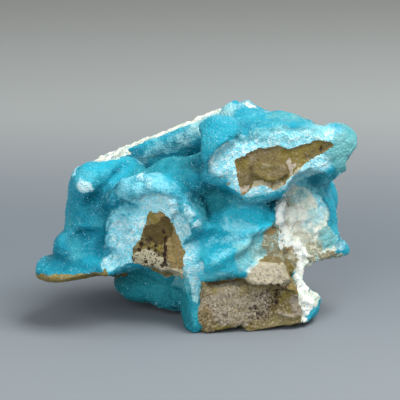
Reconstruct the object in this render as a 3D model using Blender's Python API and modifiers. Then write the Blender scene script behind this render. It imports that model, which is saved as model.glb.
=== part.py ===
"""Hemimorphite specimen: a hand-sized stone of brown limonite under a thick blue crust.

The stone is two solids that grew together. limonite_matrix is the brown rock, bare on the back, under the
foot, under the ledge and in the two broken windows of the front. hemimorphite_crust is the botryoidal blue
crust that wraps the front, the sides and the top.

The outer form is a cluster of rounded lumps, fused, hollowed where the crust sinks, and broken off along a
few fracture planes. The boundary between the two minerals is a second, inner cluster.

X runs to the right, Y away from the front and Z up. The origin is below the middle, on the resting surface.
"""

import math
from typing import NamedTuple

import bmesh
import bpy
from mathutils import Matrix, Vector

# Driving dimensions, in metres
SPECIMEN_WIDTH = 0.084
CONTACT_GAP = 0.0003
VOXEL = 0.0009

# The lumps below are placed in parts of the width, each about one millimetre
WIDTH_PARTS = 84
PART = SPECIMEN_WIDTH / WIDTH_PARTS
MIDDLE = (-0.3, 3.6, 0)
SLIVER = 0.01

# Triangles kept in each form before it is broken
FORM_TRIANGLES = 3000
BOUNDARY_TRIANGLES = 900

SMOOTH_FACTOR = 0.5
SMOOTH_ROUNDS = 3
BOUNDARY_ROUNDS = 14
ROUND_LUMP_LEVEL = 3
CUTTER_LEVEL = 4
SMOOTH_ANGLE = math.radians(40)


class Lump(NamedTuple):
    """An ellipsoid: tilt lifts its right end, and turn pushes its right end back, in degrees."""

    name: str
    at: tuple
    radii: tuple
    tilt: float = 0.0
    turn: float = 0.0


class Fracture(NamedTuple):
    """A break along a plane through a point, facing outwards, within the reach of an ellipsoid."""

    name: str
    at: tuple
    facing: tuple
    reach: Lump


class Outline(NamedTuple):
    """A window in the crust, drawn on the front as X and Z, with the depths that it runs between."""

    name: str
    front: float
    back: float
    points: tuple


UPPER_LOBE = (
    Lump("dome", (6.5, -9, 46), (7.6, 9, 9), tilt=20),
    Lump("dome_foot", (4, -8, 41.5), (5, 6, 5)),
    Lump("lobe_middle", (20, -9, 43.5), (17, 9, 10), tilt=14),
    Lump("lobe_underside", (12.5, -9, 37.5), (8, 7.2, 5.5), tilt=-5),
    Lump("lobe_right", (33, -8, 45.5), (8, 7, 7.2), tilt=12),
    Lump("lobe_tip", (36.2, -7, 48), (5, 6, 4.6), tilt=6),
    Lump("lobe_top", (18, 2, 50.6), (13, 9, 3.6), tilt=-4),
    Lump("peak", (10.8, 6, 52.6), (6, 6, 4.6)),
    Lump("peak_front", (8.5, 0, 50), (8, 8, 3.6), tilt=12),
    Lump("lobe_back", (21.5, 6, 39), (16, 11, 11), tilt=6),
)
RIM = (
    Lump("rim", (-8.5, 14, 40.5), (26, 8, 9), tilt=22),
    Lump("rim_high", (2.5, 12, 46.5), (10, 8, 7), tilt=20),
)
LEFT_SHOULDER = (
    Lump("shoulder_left", (-28, -2, 35.5), (5.2, 8, 5.2)),
    Lump("shoulder_middle", (-24, -1, 36.5), (7, 8, 4.6), tilt=12),
    Lump("shoulder_right", (-19.5, 0, 38.5), (6.5, 7, 3.4), tilt=10),
    Lump("wall_high", (-28.6, 0, 29.5), (5.4, 8, 7)),
    Lump("wall_low", (-28, -1, 24), (6.6, 8, 7)),
    Lump("wall_body", (-23.5, 0, 22.5), (8, 8, 9)),
)
CENTRAL_RIDGE = (
    Lump("ridge_left", (-20.5, -5, 34.5), (6.4, 6, 5.2), tilt=20),
    Lump("ridge_crest", (-14, -8, 36.5), (7.5, 7, 5.4)),
    Lump("ridge_shoulder", (-8, -10, 34), (7.5, 7, 6.2), tilt=-35),
    Lump("ridge_fall", (-3.5, -10, 29.5), (6.5, 6.5, 6), tilt=-45),
    Lump("ridge_end", (0, -9, 23.5), (5, 6, 7), tilt=-70),
    Lump("ridge_back", (-5.5, -3, 37.5), (9, 7, 6), tilt=-10),
    Lump("ridge_saddle", (1, -3, 38.5), (5, 7, 6)),
    Lump("left_lobe", (-12, -8, 23.5), (12, 8.5, 10), tilt=-10),
    Lump("left_lobe_low", (-8, -9, 17.5), (7, 7.5, 7.5)),
)
LEDGE = (
    Lump("ball", (-33.5, -7, 19), (4, 5, 4.6)),
    Lump("ball_bud", (-32, -6, 20.5), (3.4, 4, 3.2)),
    Lump("ball_right", (-27.5, -5, 17.5), (5.6, 6, 4.4)),
    Lump("ledge", (-29.5, -7, 15.4), (12.5, 12, 2.6), tilt=10),
    Lump("ledge_tip", (-37.3, -8, 14.5), (4.6, 7, 2.6), tilt=4),
    Lump("ledge_root", (-20, -7, 16.6), (14, 11, 3), tilt=-4),
    Lump("ledge_knob", (-24, -9, 13), (2.6, 5, 3.2)),
    Lump("ledge_lip", (-9.5, -9, 13.5), (8, 9, 3.2), tilt=-14),
)
APRON = (
    Lump("apron_back", (11, -3, 30), (10, 8, 7)),
    Lump("apron_high", (9.5, -4.5, 23.4), (12, 8, 7), tilt=14),
    Lump("apron_left", (4.5, -9, 17.6), (8.5, 7.5, 6), tilt=12),
    Lump("apron_low", (13.5, -7, 18.4), (11, 8, 6), tilt=22),
    Lump("flow_ridge_high", (11, -11.5, 25), (9, 3.5, 1.8), tilt=16),
    Lump("flow_ridge_low", (6.5, -14, 19.6), (8.5, 3.5, 1.7), tilt=26),
    Lump("tongue", (18, -13.5, 15.4), (7.5, 5, 4), tilt=-6),
)
RIGHT_FLANK = (
    Lump("flank", (28, 0, 26.5), (8, 9, 8.5)),
    Lump("flank_ball", (31.8, 5, 26), (4.6, 6, 6)),
    Lump("flank_ball_low", (33.5, 3, 24), (4, 6, 6)),
    Lump("flank_front", (26.5, -4, 27), (8, 7, 7.5)),
    Lump("flank_low", (27, -4, 19.5), (9, 9, 8)),
    Lump("spike", (34.8, 0, 18.6), (5.6, 6, 2.6), tilt=-14),
    Lump("spike_crystal", (34.5, -2, 21.5), (3, 4, 2.6), tilt=20),
    Lump("flank_foot", (28.8, -5, 9), (4, 8.5, 11)),
)
FOOT = (
    Lump("foot_slab", (-0.4, -10, 6), (3.6, 9.5, 11)),
    Lump("foot_neck", (11.5, 0, 11.5), (14, 10, 9)),
    Lump("shelf", (-12.5, 4, 7.4), (9.5, 10, 5)),
    Lump("shelf_left", (-16, 6, 9), (5, 8, 4)),
    Lump("shelf_right", (-6, 1, 7), (7, 10, 6)),
    Lump("shelf_back", (-13, 3, 13.5), (9, 7, 5)),
)
FOOT_BLOCK = Lump("foot_block", (14, -6, 3.5), (13.8, 12, 8), tilt=3, turn=10)
GROUND = Lump("ground", (0, 0, -20), (80, 60, 20))
BACK = (
    Lump("body", (0.5, 14, 23), (27, 13, 17)),
    Lump("body_low", (1, 16, 9), (24, 11, 13)),
    Lump("back_left", (-28.5, 13, 23.5), (7, 9, 9)),
    Lump("back_left_low", (-21, 16, 14), (10, 8, 9)),
    Lump("back_right", (31, 13, 27.5), (7, 7, 9)),
)
FORM_LUMPS = (
    UPPER_LOBE + RIM + LEFT_SHOULDER + CENTRAL_RIDGE + LEDGE + APRON + RIGHT_FLANK + FOOT + BACK
)

HOLLOWS = (
    Lump("trough", (-7, -4, 45), (17, 7.5, 3), tilt=25, turn=8),
    Lump("top_notch", (31.4, -2, 53.4), (2.6, 9, 1.6), tilt=-20),
    Lump("trough_end", (0.3, -10, 46), (2.6, 5.5, 5.5), tilt=10),
    Lump("cave", (5, -15.5, 34), (7, 6, 3.4), tilt=-10),
    Lump("cave_right", (15, -16.5, 30), (8.5, 6, 3.4), tilt=10),
    Lump("apron_valley", (3, -17.5, 23.5), (8, 6, 3), tilt=18),
    Lump("wall_groove", (-25.5, -11, 32.5), (2.6, 5, 8), tilt=-25),
    Lump("ball_groove", (-29, -11, 23.5), (5, 4, 2.2), tilt=10),
    Lump("undercut", (-13.5, -18, 10.5), (10, 12, 6.5), tilt=-15),
    Lump("back_vug_high", (9, 27, 33), (10, 8, 6), tilt=15),
    Lump("back_vug_left", (-15, 27, 21), (9, 9, 7), tilt=-20),
    Lump("back_vug_low", (6, 28, 11), (11, 8, 5), tilt=8),
    Lump("back_vug_right", (25, 22, 18), (7, 8, 8)),
    Lump("back_crease", (-4, 26, 40), (12, 7, 2.5), tilt=28),
)

FRONT_FRACTURES = (
    Fracture("upper_window", (22.4, -14.4, 43.4), (0.02, -0.98, 0.14),
             Lump("reach", (22.5, -20, 43.5), (21, 14, 12), tilt=14)),
    Fracture("left_window", (-9.3, -15, 22.4), (-0.22, -0.96, 0.02),
             Lump("reach", (-11, -20, 24), (12.5, 13, 13))),
    Fracture("left_band", (-2, -14.4, 20), (-0.12, -0.99, 0),
             Lump("reach", (-2.4, -17.5, 20), (3.6, 6, 13), tilt=14)),
    Fracture("left_rough", (-18.3, -12.6, 23.4), (-0.55, -0.83, 0.05),
             Lump("reach", (-18, -18, 24), (8, 10, 11))),
    Fracture("foot_front", (13.8, -15.6, 7.1), (0.14, -0.96, 0.2),
             Lump("reach", (13.5, -22, 3), (20, 13, 11))),
    Fracture("foot_corner", (27, -14, 6), (0.6, -0.78, 0.1),
             Lump("reach", (34, -20, 4), (12, 12, 10))),
    Fracture("foot_underside", (21, -16, 1), (0.14, -0.1, -0.99),
             Lump("reach", (23.5, -14, -1.5), (14, 16, 6))),
    Fracture("foot_step", (3, -16, 0), (0.24, -0.12, -0.97),
             Lump("reach", (7.8, -20, -0.5), (5.6, 9, 5))),
    Fracture("white_break", (27.5, -7.2, 22), (0.22, -0.94, 0.24),
             Lump("reach", (31, -14, 23.5), (9.5, 14, 19), tilt=9)),
    Fracture("olive_break", (20.5, -12, 21), (0.05, -0.97, -0.2),
             Lump("reach", (20.5, -20, 23.5), (8.5, 12, 5.5), tilt=30)),
    Fracture("tongue_break", (17, -16.4, 15.5), (0.06, -0.95, 0.26),
             Lump("reach", (17.5, -22, 16), (8, 8, 5.4))),
    Fracture("slab_side", (-1.2, -17.8, 6), (-0.88, -0.47, 0),
             Lump("reach", (-7, -16, 5), (6.5, 9, 11))),
    Fracture("ledge_underside", (-30.8, -19, 15.2), (0.25, -0.35, -0.9),
             Lump("reach", (-34, -10, 10), (13, 16, 8.5), tilt=14)),
    Fracture("spike_underside", (35.9, 0, 15.2), (0.25, -0.25, -0.93),
             Lump("reach", (37, 0, 12.5), (12, 14, 8))),
    Fracture("tip_underside", (38.3, -8, 43.6), (0.84, -0.1, -0.54),
             Lump("reach", (42.5, -6, 44), (5.6, 12, 5.4))),
    Fracture("tip_step", (35.9, -8, 41), (0.9, -0.1, -0.42),
             Lump("reach", (40.5, -6, 38.6), (6, 11, 3.6))),
    Fracture("peak_break", (11.5, 7, 55.7), (0.32, -0.05, 0.95),
             Lump("reach", (18, 7, 58.4), (8.5, 10, 5.4))),
)
BACK_FRACTURES = (
    Fracture("top_break", (-9.8, 14, 45.6), (-0.37, 0.08, 0.92),
             Lump("reach", (-9.8, 17, 60), (34, 18, 24), tilt=22)),
    Fracture("back_high_break", (-3, 22.4, 36), (-0.08, 0.93, 0.36),
             Lump("reach", (-3, 36, 44), (34, 18, 18), tilt=20)),
    Fracture("back_middle_break", (-1, 24, 22), (-0.12, 0.99, -0.05),
             Lump("reach", (-2, 38, 22), (26, 18, 20))),
    Fracture("back_low_break", (8, 23.4, 8), (0.16, 0.9, -0.4),
             Lump("reach", (8, 36, 0), (34, 18, 20))),
    Fracture("back_left_break", (-23.8, 18, 20.6), (-0.55, 0.83, 0.05),
             Lump("reach", (-28, 30, 22), (24, 18, 40))),
    Fracture("back_right_break", (28.3, 17.5, 26.6), (0.52, 0.84, 0.14),
             Lump("reach", (30, 30, 30), (20, 18, 24))),
)

MATRIX_LUMPS = (
    Lump("back_core", (1, 20, 18.5), (29, 20, 17)),
    Lump("high_core", (-4.5, 20, 35.5), (22, 15, 9), tilt=22),
    Lump("low_core", (5, 14, 1.5), (24, 18, 13)),
    Lump("middle_core", (14, 0, 17), (13, 10, 11)),
    Lump("lobe_core", (22, -2, 41), (10, 9, 5), tilt=16),
    Lump("lobe_neck", (19, 5, 33), (8, 7, 9)),
    Lump("left_core", (-9, -3, 21), (7, 10, 7)),
    Lump("ledge_plate", (-34, -6, 13), (13, 26, 3.2), tilt=14),
    Lump("knob_core", (-24.5, -9, 12), (4, 8, 5)),
    Lump("ledge_link", (-17, 5, 14), (9, 8, 6.5)),
)
WINDOWS = (
    Outline("upper_window", -24, -4, (
        (10.5, 44), (15.5, 47.5), (20, 48.5), (23, 48), (26, 49), (31, 50.5), (35.5, 49),
        (28, 43), (24, 40), (20.5, 37), (16.5, 38), (11, 35.5),
    )),
    Outline("left_window", -24, -4, (
        (-12, 31), (-9.5, 32), (-6.5, 29), (-4, 25), (-2.5, 21), (-3, 18), (-3.5, 13),
        (-8.5, 13), (-13, 16), (-16, 17), (-15.5, 21), (-13, 25),
    )),
    Outline("foot_window", -30, -2, (
        (1, 12.5), (6, 13), (10, 13.5), (13, 15), (16, 18), (20, 20), (23, 17.5), (24.5, 14),
        (26, 9), (26.5, 5), (26.5, -4), (1, -4),
    )),
)
WINDOW_RECESS = Fracture("upper_recess", (22.4, -13.6, 43.4), (0.02, -0.98, 0.14),
                         Lump("reach", (22.5, -20, 43.5), (21, 14, 12), tilt=14))


def clear_scene():
    """Removes every object of the open scene."""
    for obj in list(bpy.data.objects):
        bpy.data.objects.remove(obj)


def collection_named(name, hidden):
    """A collection for the parts or, hidden from renders, for the cutters."""
    made = bpy.data.collections.new(name)
    bpy.context.scene.collection.children.link(made)
    made.hide_render = hidden
    return made


def object_of(name, mesh, collection):
    """A new object that shows the mesh, in its collection."""
    obj = bpy.data.objects.new(name, mesh)
    collection.objects.link(obj)
    if collection.hide_render:
        obj.hide_render = True
        obj.display_type = "WIRE"
    return obj


def point_at(parts):
    """A point in metres from its place in parts of the width."""
    return PART * (Vector(parts) - Vector(MIDDLE))


def placed(lump):
    """The matrix that turns a unit sphere into the lump."""
    turn = Matrix.Rotation(math.radians(lump.turn), 4, "Z")
    tilt = Matrix.Rotation(math.radians(-lump.tilt), 4, "Y")
    size = Matrix.Diagonal((*(PART * radius for radius in lump.radii), 1))
    return Matrix.Translation(point_at(lump.at)) @ turn @ tilt @ size


def add_ball(shape, lump, level):
    """Adds the lump's ellipsoid to a bmesh and returns its vertices."""
    made = bmesh.ops.create_icosphere(shape, subdivisions=level, radius=1, matrix=placed(lump))
    return made["verts"]


def mesh_from(shape, name):
    """Writes a bmesh to a new mesh with its faces turned outwards."""
    bmesh.ops.recalc_face_normals(shape, faces=shape.faces)
    mesh = bpy.data.meshes.new(name)
    shape.to_mesh(mesh)
    shape.free()
    return mesh


def lumps_mesh(name, lumps, level=ROUND_LUMP_LEVEL):
    """One mesh that holds an ellipsoid for each lump."""
    shape = bmesh.new()
    for lump in lumps:
        add_ball(shape, lump, level)
    return mesh_from(shape, name)


def add_block(shape, block):
    """Adds a box with the block's half sizes to a bmesh."""
    bmesh.ops.create_cube(shape, size=2, matrix=placed(block))


def form_mesh():
    """Every outer lump and the foot block, still separate, in one mesh."""
    shape = bmesh.new()
    for lump in FORM_LUMPS:
        add_ball(shape, lump, ROUND_LUMP_LEVEL)
    add_block(shape, FOOT_BLOCK)
    return mesh_from(shape, "form")


def add_window(shape, window):
    """Adds a straight block of the window's outline, which runs from its front depth to its back."""
    rings = [
        [shape.verts.new(point_at((x, depth, z))) for x, z in window.points]
        for depth in (window.front, window.back)
    ]
    for ring in rings:
        shape.faces.new(ring)
    for i, near in enumerate(rings[0]):
        far = rings[1][i]
        shape.faces.new((near, rings[0][i - 1], rings[1][i - 1], far))


def boundary_mesh():
    """The inner lumps and the blocks that bring the matrix out to its windows, in one mesh."""
    shape = bmesh.new()
    for lump in MATRIX_LUMPS:
        add_ball(shape, lump, ROUND_LUMP_LEVEL)
    for window in WINDOWS:
        add_window(shape, window)
    return mesh_from(shape, "boundary")


def fracture_cutter(fracture, collection):
    """The part of the fracture's reach that lies outside its plane, as a closed cutter."""
    shape = bmesh.new()
    add_ball(shape, fracture.reach, CUTTER_LEVEL)
    cut = bmesh.ops.bisect_plane(
        shape, geom=shape.verts[:] + shape.edges[:] + shape.faces[:],
        plane_co=point_at(fracture.at), plane_no=Vector(fracture.facing), clear_inner=True,
    )
    rim = [item for item in cut["geom_cut"] if isinstance(item, bmesh.types.BMEdge)]
    bmesh.ops.contextual_create(shape, geom=rim)
    return object_of("cutter_" + fracture.name, mesh_from(shape, fracture.name), collection)


def ground_cutter(collection):
    """A block below the resting surface, which leaves the stone flat where it stands."""
    shape = bmesh.new()
    add_block(shape, GROUND)
    return object_of("cutter_ground", mesh_from(shape, "ground"), collection)


def boolean(obj, cutter, operation="DIFFERENCE", folded=False):
    """Adds a Boolean modifier; a folded mesh is one that may cross itself."""
    modifier = obj.modifiers.new(cutter.name, "BOOLEAN")
    modifier.operation = operation
    modifier.object = cutter
    modifier.solver = "EXACT"
    modifier.use_self = folded


def fuse(obj, smooth_rounds):
    """Fuses what overlaps into one skin and rounds its creases."""
    remesh = obj.modifiers.new("fuse", "REMESH")
    remesh.mode = "VOXEL"
    remesh.voxel_size = VOXEL
    smooth = obj.modifiers.new("round", "SMOOTH")
    smooth.factor = SMOOTH_FACTOR
    smooth.iterations = smooth_rounds


def evaluated_mesh(obj):
    """A new mesh of what the object's modifiers make."""
    bpy.context.view_layer.update()
    graph = bpy.context.evaluated_depsgraph_get()
    return bpy.data.meshes.new_from_object(obj.evaluated_get(graph))


def settle(obj):
    """Replaces the object's mesh with what its modifiers make, and removes them."""
    mesh = evaluated_mesh(obj)
    obj.modifiers.clear()
    obj.data = mesh


def thin_to(obj, triangles):
    """Collapses the mesh to about that many triangles."""
    decimate = obj.modifiers.new("thin", "DECIMATE")
    decimate.ratio = triangles / (2 * len(obj.data.polygons))
    decimate.use_collapse_triangulate = True
    settle(obj)


def outer_form(cutters):
    """The unbroken outside of the stone, with its hollows."""
    form = object_of("outer_form", form_mesh(), cutters)
    fuse(form, 1)
    hollows = object_of("hollows", lumps_mesh("hollows", HOLLOWS), cutters)
    fuse(hollows, 1)
    boolean(form, hollows)
    fuse(form, SMOOTH_ROUNDS)
    settle(form)
    thin_to(form, FORM_TRIANGLES)
    return form


def mineral_boundary(cutters):
    """The surface between the matrix and the crust, as a solid that reaches outside the stone."""
    boundary = object_of("boundary", boundary_mesh(), cutters)
    fuse(boundary, BOUNDARY_ROUNDS)
    settle(boundary)
    thin_to(boundary, BOUNDARY_TRIANGLES)
    return boundary


def grown(obj, distance, collection):
    """A copy of the object, each point moved out along its normal."""
    copy = object_of(obj.name + "_grown", obj.data.copy(), collection)
    displace = copy.modifiers.new("grow", "DISPLACE")
    displace.mid_level = 0
    displace.strength = distance
    settle(copy)
    return copy


def material(name, colour, roughness):
    """A plain finish."""
    made = bpy.data.materials.new(name)
    made.use_nodes = True
    surface = made.node_tree.nodes["Principled BSDF"]
    surface.inputs["Base Color"].default_value = (*colour, 1)
    surface.inputs["Roughness"].default_value = roughness
    surface.inputs["Metallic"].default_value = 0
    return made


def finish_part(obj, finish):
    """Merges the slivers that the cuts leave, and sets shading and material."""
    settle(obj)
    shape = bmesh.new()
    shape.from_mesh(obj.data)
    bmesh.ops.triangulate(shape, faces=shape.faces)
    bmesh.ops.dissolve_degenerate(shape, dist=PART * SLIVER, edges=shape.edges)
    bmesh.ops.triangulate(shape, faces=shape.faces)
    shape.to_mesh(obj.data)
    shape.free()
    obj.data.shade_smooth()
    obj.data.set_sharp_from_angle(angle=SMOOTH_ANGLE)
    obj.data.materials.clear()
    obj.data.materials.append(finish)


def build():
    """Makes the crust and the matrix."""
    clear_scene()
    parts = collection_named("hemimorphite_specimen", hidden=False)
    cutters = collection_named("cutters", hidden=True)

    form = outer_form(cutters)
    for fracture in FRONT_FRACTURES + BACK_FRACTURES:
        boolean(form, fracture_cutter(fracture, cutters))
    boolean(form, ground_cutter(cutters))
    settle(form)
    boundary = mineral_boundary(cutters)

    crust = object_of("hemimorphite_crust", form.data.copy(), parts)
    boolean(crust, grown(boundary, CONTACT_GAP, cutters), folded=True)
    finish_part(crust, material("crust_blue", (0.05, 0.42, 0.52), 0.35))

    matrix = object_of("limonite_matrix", form.data.copy(), parts)
    boolean(matrix, boundary, "INTERSECT", folded=True)
    boolean(matrix, fracture_cutter(WINDOW_RECESS, cutters))
    finish_part(matrix, material("matrix_brown", (0.22, 0.15, 0.07), 0.85))


build()
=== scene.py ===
"""Hemimorphite specimen: the look of its blue botryoidal crust, its brown matrix and its druse.

The stone is a signed distance, built from the same rounded lumps, hollows and fracture planes as
the frame's solids. Its skin is drawn at a fine spacing, given its relief, and split into the crust
and the matrix. Every point of the skin keeps what its finish needs: how deep it lies under the
unbroken outside, how open its surroundings are, and which marked places it lies in.

The lumps are placed in parts of the specimen's width, each about one millimetre. X runs to the
right, Y away from the front and Z up. The last whole number given to a noise is its seed.
"""

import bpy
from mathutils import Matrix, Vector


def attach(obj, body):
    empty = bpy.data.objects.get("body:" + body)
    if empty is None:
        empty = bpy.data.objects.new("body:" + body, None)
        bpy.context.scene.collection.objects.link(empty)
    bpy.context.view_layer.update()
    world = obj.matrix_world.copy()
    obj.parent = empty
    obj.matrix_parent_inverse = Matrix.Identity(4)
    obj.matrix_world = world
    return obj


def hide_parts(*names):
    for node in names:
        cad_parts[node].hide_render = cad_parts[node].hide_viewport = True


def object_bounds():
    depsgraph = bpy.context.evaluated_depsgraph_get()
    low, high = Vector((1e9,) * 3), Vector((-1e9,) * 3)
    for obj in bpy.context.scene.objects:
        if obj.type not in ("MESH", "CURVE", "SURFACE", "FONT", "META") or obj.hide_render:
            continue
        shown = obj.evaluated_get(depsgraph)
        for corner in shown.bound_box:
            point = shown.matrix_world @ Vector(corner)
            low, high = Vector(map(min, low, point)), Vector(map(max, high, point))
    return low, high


bl_info = {
    "name": "Hemimorphite specimen",
    "version": (1, 0, 0),
    "blender": (4, 5, 0),
    "location": "View3D > Sidebar > Specimen",
    "description": "Builds a hemimorphite specimen with its crust, matrix, druse and studio",
    "category": "Object",
}

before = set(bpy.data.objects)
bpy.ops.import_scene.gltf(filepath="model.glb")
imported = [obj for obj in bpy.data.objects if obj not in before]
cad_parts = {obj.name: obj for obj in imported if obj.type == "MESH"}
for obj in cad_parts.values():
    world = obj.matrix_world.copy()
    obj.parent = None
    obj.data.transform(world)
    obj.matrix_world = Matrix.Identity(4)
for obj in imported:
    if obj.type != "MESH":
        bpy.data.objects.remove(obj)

import functools
import math
from typing import Callable, NamedTuple

import bpy
import numpy as np
from mathutils import Matrix, Vector

FRAME_LOW, FRAME_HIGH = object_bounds()

# The frame's width in parts, and the middle of its outline in the lumps' own places
WIDTH_PARTS = 82.62
PART = (FRAME_HIGH.x - FRAME_LOW.x) / WIDTH_PARTS
MIDDLE = (-0.3, 3.6, 0)

# FAR stands for any distance that is out of reach of a blend
FAR = 7.0
LUMP_BLEND = 1.8
FRACTURE_BLEND = 0.35
GROUND_BLEND = 0.2
GRID_PAD = 2.6
POINT_PAD = 7.0
GRID_LOW = (-45, -26, -2)
GRID_HIGH = (45, 29, 60)


class Lump(NamedTuple):
    """An ellipsoid or a box. In degrees, tilt lifts its right end, and turn pushes it back."""

    at: tuple
    radii: tuple
    tilt: float = 0.0
    turn: float = 0.0
    blend: float = LUMP_BLEND


class Fracture(NamedTuple):
    """A break along a plane through a point, facing outwards, within the reach of an ellipsoid."""

    at: tuple
    facing: tuple
    reach: Lump
    blend: float = FRACTURE_BLEND


class Outline(NamedTuple):
    """A window in the crust, drawn on the front as X and Z, and the depths that it runs between."""

    front: float
    back: float
    points: tuple


class Place(NamedTuple):
    """A marked place of the skin: its middle, its radii, its tilt and how strong its mark is."""

    at: tuple
    radii: tuple
    tilt: float = 0.0
    strength: float = 1.0


UPPER_LOBE = {
    "dome": Lump((6.5, -9, 46), (7.6, 9, 9), tilt=20),
    "dome_foot": Lump((4, -8, 41.5), (5, 6, 5)),
    "lobe_middle": Lump((20, -9, 43.5), (17, 9, 10), tilt=14),
    "lobe_underside": Lump((12.5, -9, 37.5), (8, 7.2, 5.5), tilt=-5),
    "lobe_right": Lump((33, -8, 45.5), (8, 7, 7.2), tilt=12),
    "lobe_tip": Lump((36.2, -7, 48), (5, 6, 4.6), tilt=6),
    "lobe_top": Lump((18, 2, 50.6), (13, 9, 3.6), tilt=-4),
    "peak": Lump((10.8, 6, 52.6), (6, 6, 4.6)),
    "peak_front": Lump((8.5, 0, 50), (8, 8, 3.6), tilt=12),
    "lobe_back": Lump((21.5, 6, 39), (16, 11, 11), tilt=6),
}
RIM = {
    "rim": Lump((-8.5, 14, 40.5), (26, 8, 9), tilt=22),
    "rim_high": Lump((2.5, 12, 46.5), (10, 8, 7), tilt=20),
}
LEFT_SHOULDER = {
    "shoulder_left": Lump((-28, -2, 35.5), (5.2, 8, 5.2)),
    "shoulder_middle": Lump((-24, -1, 36.5), (7, 8, 4.6), tilt=12),
    "shoulder_right": Lump((-19.5, 0, 38.5), (6.5, 7, 3.4), tilt=10),
    "wall_high": Lump((-28.6, 0, 29.5), (5.4, 8, 7)),
    "wall_low": Lump((-28, -1, 24), (6.6, 8, 7)),
    "wall_body": Lump((-23.5, 0, 22.5), (8, 8, 9)),
}
CENTRAL_RIDGE = {
    "ridge_left": Lump((-20.5, -5, 34.5), (6.4, 6, 5.2), tilt=20),
    "ridge_crest": Lump((-14, -8, 36.5), (7.5, 7, 5.4)),
    "ridge_shoulder": Lump((-8, -10, 34), (7.5, 7, 6.2), tilt=-35),
    "ridge_fall": Lump((-3.5, -10, 29.5), (6.5, 6.5, 6), tilt=-45),
    "ridge_end": Lump((0, -9, 23.5), (5, 6, 7), tilt=-70),
    "ridge_back": Lump((-5.5, -3, 37.5), (9, 7, 6), tilt=-10),
    "ridge_saddle": Lump((1, -3, 38.5), (5, 7, 6)),
    "left_lobe": Lump((-12, -8, 23.5), (12, 8.5, 10), tilt=-10),
    "left_lobe_low": Lump((-8, -9, 17.5), (7, 7.5, 7.5)),
}
LEDGE = {
    "ball": Lump((-33.5, -7, 19), (4, 5, 4.6)),
    "ball_bud": Lump((-32, -6, 20.5), (3.4, 4, 3.2)),
    "ball_right": Lump((-27.5, -5, 17.5), (5.6, 6, 4.4)),
    "ledge": Lump((-29.5, -7, 15.4), (12.5, 12, 2.6), tilt=10),
    "ledge_tip": Lump((-37.3, -8, 14.5), (4.6, 7, 2.6), tilt=4),
    "ledge_root": Lump((-20, -7, 16.6), (14, 11, 3), tilt=-4),
    "ledge_knob": Lump((-24, -9, 13), (2.6, 5, 3.2)),
    "ledge_lip": Lump((-9.5, -9, 13.5), (8, 9, 3.2), tilt=-14),
}
APRON = {
    "apron_back": Lump((11, -3, 30), (10, 8, 7)),
    "apron_high": Lump((9.5, -4.5, 23.4), (12, 8, 7), tilt=14),
    "apron_left": Lump((4.5, -9, 17.6), (8.5, 7.5, 6), tilt=12),
    "apron_low": Lump((13.5, -7, 18.4), (11, 8, 6), tilt=22),
    "flow_ridge_high": Lump((11, -11.5, 25), (9, 3.5, 1.8), tilt=16),
    "flow_ridge_low": Lump((6.5, -14, 19.6), (8.5, 3.5, 1.7), tilt=26),
    "tongue": Lump((18, -13.5, 15.4), (7.5, 5, 4), tilt=-6),
}
RIGHT_FLANK = {
    "flank": Lump((28, 0, 26.5), (8, 9, 8.5)),
    "flank_ball": Lump((31.8, 5, 26), (4.6, 6, 6)),
    "flank_ball_low": Lump((33.5, 3, 24), (4, 6, 6)),
    "flank_front": Lump((26.5, -4, 27), (8, 7, 7.5)),
    "flank_low": Lump((27, -4, 19.5), (9, 9, 8)),
    "spike": Lump((34.8, 0, 18.6), (5.6, 6, 2.6), tilt=-14),
    "spike_crystal": Lump((34.5, -2, 21.5), (3, 4, 2.6), tilt=20),
    "flank_foot": Lump((28.8, -5, 9), (4, 8.5, 11)),
}
FOOT = {
    "foot_slab": Lump((-0.4, -10, 6), (3.6, 9.5, 11)),
    "foot_neck": Lump((11.5, 0, 11.5), (14, 10, 9)),
    "shelf": Lump((-12.5, 4, 7.4), (9.5, 10, 5)),
    "shelf_left": Lump((-16, 6, 9), (5, 8, 4)),
    "shelf_right": Lump((-6, 1, 7), (7, 10, 6)),
    "shelf_back": Lump((-13, 3, 13.5), (9, 7, 5)),
}
FOOT_BLOCK = Lump((14, -6, 3.5), (13.8, 12, 8), tilt=3, turn=10)
BLOCK_ROUNDING = 1.0
BACK = {
    "body": Lump((0.5, 14, 23), (27, 13, 17)),
    "body_low": Lump((1, 16, 9), (24, 11, 13)),
    "back_left": Lump((-28.5, 13, 23.5), (7, 9, 9)),
    "back_left_low": Lump((-21, 16, 14), (10, 8, 9)),
    "back_right": Lump((31, 13, 27.5), (7, 7, 9)),
}
FORM_LUMPS = (
    UPPER_LOBE | RIM | LEFT_SHOULDER | CENTRAL_RIDGE | LEDGE | APRON | RIGHT_FLANK | FOOT | BACK
)

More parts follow.
